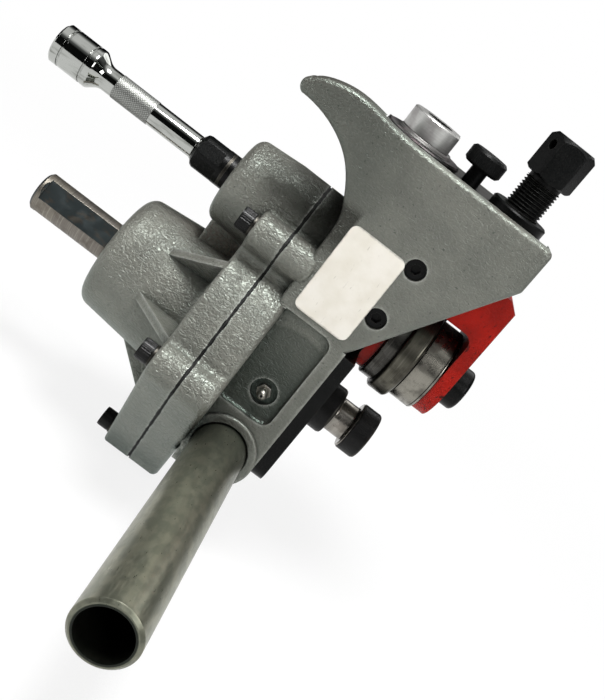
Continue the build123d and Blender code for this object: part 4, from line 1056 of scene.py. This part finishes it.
@dataclass(frozen=True)
class KnurledBand:
    """Straight knurling rolled round a cylinder that lies along X."""

    radius_mm: float
    start_mm: float
    end_mm: float
    teeth: int
    rise_mm: float
    centre_y_mm: float = 0.0
    centre_z_mm: float = 0.0
    valley_share: float = 0.28
    wall_mm: float = 0.4

    def sleeve(self) -> bmesh.types.BMesh:
        """Make the knurling: a tube, with each of its faces raised into a tooth, and a thin wall behind them.

        Returns:
            The closed sleeve, in place.
        """
        bm = bmesh.new()
        radius = self.radius_mm * MM
        bmesh.ops.create_cone(bm, cap_ends=False, segments=self.teeth, radius1=radius, radius2=radius,
                              depth=(self.end_mm - self.start_mm) * MM)
        middle = Vector(((self.start_mm + self.end_mm) / 2, self.centre_y_mm, self.centre_z_mm))
        bmesh.ops.rotate(bm, verts=bm.verts, cent=(0, 0, 0), matrix=Matrix.Rotation(math.radians(90), 3, "Y"))
        bmesh.ops.translate(bm, verts=bm.verts, vec=middle * MM)
        bmesh.ops.recalc_face_normals(bm, faces=bm.faces)
        valley = math.tau * radius / self.teeth * self.valley_share
        bmesh.ops.inset_individual(bm, faces=bm.faces[:], thickness=valley, depth=self.rise_mm * MM)
        bmesh.ops.solidify(bm, geom=bm.faces[:], thickness=self.wall_mm * MM)
        return bm


# Sub-assemblies


class SubAssembly:
    """What every sub-assembly does: dress its CAD nodes, then make the pieces that the CAD leaves out."""

    dressed: ClassVar[dict[str, tuple[str, ...]]] = {}

    def pieces(self, rack: Rack) -> list[Object]:
        """Make the sub-assembly's own pieces: none, on most."""
        return []

    def build(self, rack: Rack) -> list[Object]:
        """Dress the nodes and make the pieces.

        Args:
            rack: each finish's material by its name.

        Returns:
            The dressed nodes and the new pieces.
        """
        for finish, nodes in self.dressed.items():
            dress(nodes, rack[finish])
        shown = [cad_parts[name] for nodes in self.dressed.values() for name in nodes]
        return shown + self.pieces(rack)


@dataclass
class GearCase(SubAssembly):
    """The two halves of the gear case with what closes and seals them."""

    dressed: ClassVar[dict[str, tuple[str, ...]]] = {
        "grey_enamel": ("gear_cover",),
        "seal_rubber": ("cover_gasket", "drive_shaft_seal", "pinion_seal"),
        "black_steel": ("cover_screws",),
        "dirty_zinc": ("cover_washers",),
        "bearing_steel": ("cover_dowels", "front_drive_bearing", "rear_drive_bearing", "main_drive_bearing"),
        "bronze": ("pinion_front_bush", "pinion_rear_bush"),
    }
    head_radius: float = 6.5
    head_start: float = 82.6
    head_end: float = 89.4
    head_teeth: int = 30
    head_rise: float = 0.2
    lugs: tuple[tuple[float, float], ...] = ((-42, 74), (42, 74), (-72, -10), (72, -10), (0, -97))
    smooth_deg: float = 20.0

    def pieces(self, rack: Rack) -> list[Object]:
        """Roll the knurl on the five cover screws' heads.

        Args:
            rack: each finish's material by its name.

        Returns:
            The five knurls, as one piece.
        """
        bm = bmesh.new()
        for y, z in self.lugs:
            join(bm, KnurledBand(self.head_radius, self.head_start, self.head_end, self.head_teeth, self.head_rise,
                                 y, z).sleeve())
        return [piece_from(bm, "cover_screw_knurls", Body.FRAME, rack["knurled_black"],
                           self.smooth_deg)]


@dataclass
class RollHead(SubAssembly):
    """The cast head with its plates, screws and the blank vinyl plate on its near face."""

    dressed: ClassVar[dict[str, tuple[str, ...]]] = {
        "grey_enamel": ("main_frame",),
        "black_steel": ("front_plate", "front_plate_screws", "gib_screws", "top_plate_screws"),
        "dark_plate": ("top_plate",),
        "gear_steel": ("guide_gibs",),
        "zinc_steel": ("grease_fitting",),
    }
    near_face_y: float = -50.0
    plate_left: float = 133.2
    plate_right: float = 168.6
    plate_low: float = 54.6
    plate_high: float = 111.2
    plate_corner: float = 4.5
    corner_steps: int = 8
    plate_thickness: float = 0.3

    def pieces(self, rack: Rack) -> list[Object]:
        """Lay the blank plate, a rounded sheet, on the near face.

        Args:
            rack: each finish's material by its name.

        Returns:
            The plate.
        """
        bm = bmesh.new()
        bmesh.ops.create_grid(bm, x_segments=1, y_segments=1, size=0.5)  # one metre square
        width = self.plate_right - self.plate_left
        height = self.plate_high - self.plate_low
        bmesh.ops.scale(bm, vec=(width * MM, height * MM, 1), verts=bm.verts)
        bmesh.ops.bevel(bm, geom=bm.verts[:], affect="VERTICES", offset=self.plate_corner * MM,
                        segments=self.corner_steps, profile=0.5, material=-1)
        bmesh.ops.rotate(bm, verts=bm.verts, cent=(0, 0, 0), matrix=Matrix.Rotation(math.radians(90), 3, "X"))
        middle = Vector((self.plate_left + width / 2, self.near_face_y, self.plate_low + height / 2))
        bmesh.ops.translate(bm, vec=middle * MM, verts=bm.verts)
        raised = bmesh.ops.extrude_face_region(bm, geom=bm.faces[:])["geom"]
        front = [item for item in raised if isinstance(item, bmesh.types.BMVert)]
        bmesh.ops.translate(bm, vec=(0, -self.plate_thickness * MM, 0), verts=front)
        bmesh.ops.recalc_face_normals(bm, faces=bm.faces)
        return [piece_from(bm, "blank_vinyl_plate", Body.FRAME, rack["vinyl"])]


@dataclass
class SupportArm(SubAssembly):
    """The pipe that rests on the power drive's carriage."""

    dressed: ClassVar[dict[str, tuple[str, ...]]] = {"tube_steel": ("support_arm",)}


@dataclass
class DriveTrain(SubAssembly):
    """Drive shaft, gears and pinion, with the knurls rolled on the two lands."""

    dressed: ClassVar[dict[str, tuple[str, ...]]] = {
        "drive_steel": ("drive_shaft",),
        "gear_steel": ("drive_gear", "gear_key"),
        "black_steel": ("pinion_shaft", "gear_retaining_ring"),
        "dirty_zinc": ("coupler_ring",),
        "chrome": ("extension_bar",),
        "bearing_steel": ("bar_detent_ball",),
    }
    land_radius: float = 15.7
    tooth_rise: float = 0.35
    teeth: int = 84
    edge: float = 1.3
    lands: tuple[tuple[float, float], ...] = ((181.7, 194.7), (207.0, 220.5))
    smooth_deg: float = 20.0

    def pieces(self, rack: Rack) -> list[Object]:
        """Roll the knurl on both lands.

        Args:
            rack: each finish's material by its name.

        Returns:
            The two knurls, as one piece.
        """
        bm = bmesh.new()
        for start, end in self.lands:
            join(bm, KnurledBand(self.land_radius, start + self.edge, end - self.edge, self.teeth,
                                 self.tooth_rise).sleeve())
        return [piece_from(bm, "roll_land_knurls", Body.DRIVE, rack["knurled_black"], self.smooth_deg)]


@dataclass
class Slide(SubAssembly):
    """The red yoke with the groove roll on its shaft."""

    dressed: ClassVar[dict[str, tuple[str, ...]]] = {
        "red_enamel": ("roll_housing",),
        "black_steel": ("roll_shaft",),
        "gear_steel": ("screw_keeper_pins", "thrust_washer"),
        "roll_steel": ("groove_roll",),
        "bearing_steel": ("roll_needle_bearing",),
    }


@dataclass
class FeedScrew(SubAssembly):
    """The feed screw, with the thread that its CAD cylinder stands for."""

    dressed: ClassVar[dict[str, tuple[str, ...]]] = {"black_steel": ("feed_nut", "feed_nut_lock_ring")}
    axis_x: float = 203.8
    major_radius: float = 11.0
    minor_radius: float = 9.85
    pitch: float = 2.0
    crest: float = 0.3
    low: float = 126.25
    high: float = 182.5
    steps: int = 40
    smooth_deg: float = 30.0

    def thread(self) -> bmesh.types.BMesh:
        """Wind the thread's profile round the axis, one pitch up to a turn.

        Returns:
            The thread, cut level and closed at both ends.
        """
        bm = bmesh.new()
        turns = math.ceil((self.high - self.low) / self.pitch) + 2  # a spare one at each end, to be cut level
        flank = (self.pitch - 2 * self.crest) / 2
        profile = ((0.0, self.major_radius), (self.crest, self.major_radius),
                   (self.crest + flank, self.minor_radius), (2 * self.crest + flank, self.minor_radius))
        points = [(self.low + (turn - 1) * self.pitch + rise, radius)
                  for turn in range(turns) for rise, radius in profile]
        verts = [bm.verts.new(((self.axis_x + radius) * MM, 0, height * MM)) for height, radius in points]
        edges = [bm.edges.new(pair) for pair in zip(verts, verts[1:])]
        bmesh.ops.spin(bm, geom=verts + edges, cent=(self.axis_x * MM, 0, 0), axis=(0, 0, 1),
                       dvec=(0, 0, self.pitch / self.steps * MM), angle=math.tau, steps=self.steps, use_merge=False)
        bmesh.ops.remove_doubles(bm, verts=bm.verts, dist=WELD_M)
        cut_away(bm, self.high, above=True)
        cut_away(bm, self.low, above=False)
        bmesh.ops.recalc_face_normals(bm, faces=bm.faces)
        return bm

    def pieces(self, rack: Rack) -> list[Object]:
        """Join the thread to the CAD head and journal, and show that for the node.

        Args:
            rack: each finish's material by its name.

        Returns:
            The whole screw.
        """
        whole = self.thread()
        for height, above in ((self.high, False), (self.low, True)):
            part = bmesh.new()
            part.from_mesh(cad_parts["feed_screw"].data)
            bmesh.ops.remove_doubles(part, verts=part.verts, dist=WELD_M)
            cut_away(part, height, above)
            join(whole, part)
        made = piece_from(whole, "threaded_feed_screw", Body.SCREW, rack["black_steel"],
                          self.smooth_deg)
        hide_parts("feed_screw")
        return [made]


@dataclass
class DepthGauge(SubAssembly):
    """The turning gauge and the knurled screw that stops on it."""

    dressed: ClassVar[dict[str, tuple[str, ...]]] = {
        "turned_aluminium": ("depth_gauge",),
        "black_steel": ("gauge_pivot_screw", "depth_screw"),
    }


# Studio


@dataclass(frozen=True)
class SoftLamp:
    """A softbox: where it hangs, how large and how bright it is, and its tint."""

    name: str
    place: Triple
    size: float
    power: float
    colour: str = "#ffffff"


@dataclass
class Studio:
    """The camera of the photograph, plain soft light and a pale floor, in metres and watts."""

    camera_place: Triple = (0.1233383, -0.5650922, 0.2158546)
    right: Triple = (0.79327097, 0.15799657, 0.58801211)
    up: Triple = (-0.60639618, 0.29195747, 0.73962457)
    back: Triple = (-0.05481638, -0.943291, 0.3274099)
    lens: float = 50.927
    clip_start: float = 0.01
    floor_z: float = -0.1094
    floor_size: float = 8.0
    floor_colour: str = "#ececec"
    # Paper fibre is finer than a pixel of the render, so it is drawn at 1.1 mm.
    fibre_mm: float = 1.1
    fibre_depth_mm: float = 0.1
    shadow_from: float = 0.25
    shadow_to: float = 0.9
    shadow_white: float = 0.84
    aim: Triple = (0.1, -0.06, 0.04)
    ambient: float = 0.2
    ambient_colour: str = "#f5f4f1"
    # What mirrors see, from below to above: a pale floor, a dark room, and a bright ceiling.
    room: tuple[tuple[float, str], ...] = ((0.0, "#bcbcbc"), (0.44, "#bcbcbc"), (0.48, "#121313"), (0.8, "#101111"),
                                           (0.88, "#6b6d6c"), (0.95, "#f4f4f4"))
    lamps: tuple[SoftLamp, ...] = (
        SoftLamp("key_softbox", (0.0, -0.36, 1.3), 0.45, 23.0),
        SoftLamp("fill_softbox", (0.85, -1.0, 0.6), 0.6, 6.0),
        SoftLamp("side_softbox", (-1.1, -0.35, 0.5), 0.5, 3.5),
        SoftLamp("back_softbox", (0.5, 0.9, 0.9), 0.7, 3.2),
    )

    def camera(self) -> None:
        """Stand the camera where the photograph was taken."""
        data = bpy.data.cameras.new("photo_camera")
        data.lens = self.lens
        data.clip_start = self.clip_start
        made = bpy.data.objects.new("photo_camera", data)
        turn = Matrix((self.right, self.up, self.back)).transposed().to_4x4()
        made.matrix_world = Matrix.Translation(self.camera_place) @ turn
        bpy.context.scene.collection.objects.link(made)
        bpy.context.scene.camera = made

    def light(self) -> None:
        """Hang the softboxes, each aimed at the tool."""
        for lamp in self.lamps:
            data = bpy.data.lights.new(lamp.name, "AREA")
            data.size = lamp.size
            data.energy = lamp.power
            data.color = linear(lamp.colour)[:3]
            made = bpy.data.objects.new(lamp.name, data)
            aim = Vector(self.aim) - Vector(lamp.place)
            made.matrix_world = Matrix.Translation(lamp.place) @ aim.to_track_quat("-Z", "Y").to_matrix().to_4x4()
            bpy.context.scene.collection.objects.link(made)

    def world(self) -> None:
        """Make the room: white to the eye, bands of dark and bright in mirrors, soft grey as light."""
        made = bpy.data.worlds.new("studio_world")
        made.use_nodes = True
        tree = made.node_tree
        tree.nodes.clear()
        camera = add_node(tree, "LightPath", out="Is Camera Ray")
        glossy = add_node(tree, "LightPath", out="Is Glossy Ray")
        through = add_node(tree, "LightPath", out="Is Transmission Ray")
        shiny = add_node(tree, "Math", {0: glossy, 1: through}, operation="MAXIMUM")
        height = add_node(tree, "SeparateXYZ", {0: add_node(tree, "TexCoord", out="Generated")}, Axis.Z.value)
        share = add_node(tree, "MapRange", {"Value": height, "From Min": -1.0, "From Max": 1.0})
        room = add_node(tree, "ValToRGB", {0: share}, stops=self.room)
        ambient = add_node(tree, "Background", {0: linear(self.ambient_colour), 1: self.ambient})
        mirrored = add_node(tree, "Background", {0: room, 1: 1.0})
        white = add_node(tree, "Background", {0: (1, 1, 1, 1), 1: 1.0})
        unseen = add_node(tree, "MixShader", {0: shiny, 1: ambient, 2: mirrored})
        add_node(tree, "OutputWorld", {0: add_node(tree, "MixShader", {0: camera, 1: unseen, 2: white})})
        bpy.context.scene.world = made

    def paper(self) -> Material:
        """Make the floor's white paper, which keeps the tool's shadow lightly near it.

        Returns:
            The material, white to the camera and in mirrors.
        """
        s = Surface("white_paper_sweep")
        fibre = s.add("Bump", {"Height": s.grain(self.fibre_mm), "Distance": self.fibre_depth_mm * MM})
        paper = s.add("BsdfDiffuse", {0: linear(self.floor_colour), "Normal": fibre})
        glow = s.add("Emission", {0: (1, 1, 1, 1), 1: 1.0})
        seen = s.add("Math", {0: s.add("LightPath", out="Is Camera Ray"), 1: s.add("LightPath", out="Is Glossy Ray")},
                     operation="MAXIMUM")
        far = s.add("VectorMath", {0: s.place}, "Value", operation="LENGTH")
        white = s.add("MapRange", {"Value": far, "From Min": self.shadow_from, "From Max": self.shadow_to,
                                   "To Min": self.shadow_white, "To Max": 1.0}, interpolation_type="SMOOTHSTEP")
        s.add("OutputMaterial", {0: s.add("MixShader", {0: s.overlap(seen, white), 1: paper, 2: glow})})
        return s.material

    def floor(self) -> None:
        """Lay the pale floor just under the tool."""
        bm = bmesh.new()
        bmesh.ops.create_grid(bm, x_segments=1, y_segments=1, size=self.floor_size / 2)
        bmesh.ops.translate(bm, vec=(0, 0, self.floor_z), verts=bm.verts)
        mesh = bpy.data.meshes.new("studio_floor")
        bm.to_mesh(mesh)
        bm.free()
        mesh.materials.append(self.paper())
        made = bpy.data.objects.new("studio_floor", mesh)
        bpy.context.scene.collection.objects.link(made)

    def build(self) -> None:
        """Set the whole studio up."""
        self.camera()
        self.light()
        self.world()
        self.floor()
        bpy.context.scene.view_settings.view_transform = "Standard"


def main() -> None:
    """Build the studio and every sub-assembly in order."""
    logging.basicConfig(level=logging.INFO, format="%(message)s")
    Studio().build()
    LOG.info("studio: camera, lamps, world and floor")
    rack = FinishRack().make()
    LOG.info("finishes: %d materials", len(rack))
    for part in (GearCase(), RollHead(), SupportArm(), DriveTrain(), Slide(), FeedScrew(), DepthGauge()):
        for piece in part.build(rack):
            LOG.info("%s: %s", type(part).__name__, piece.name)


if __name__ == "__main__":
    main()
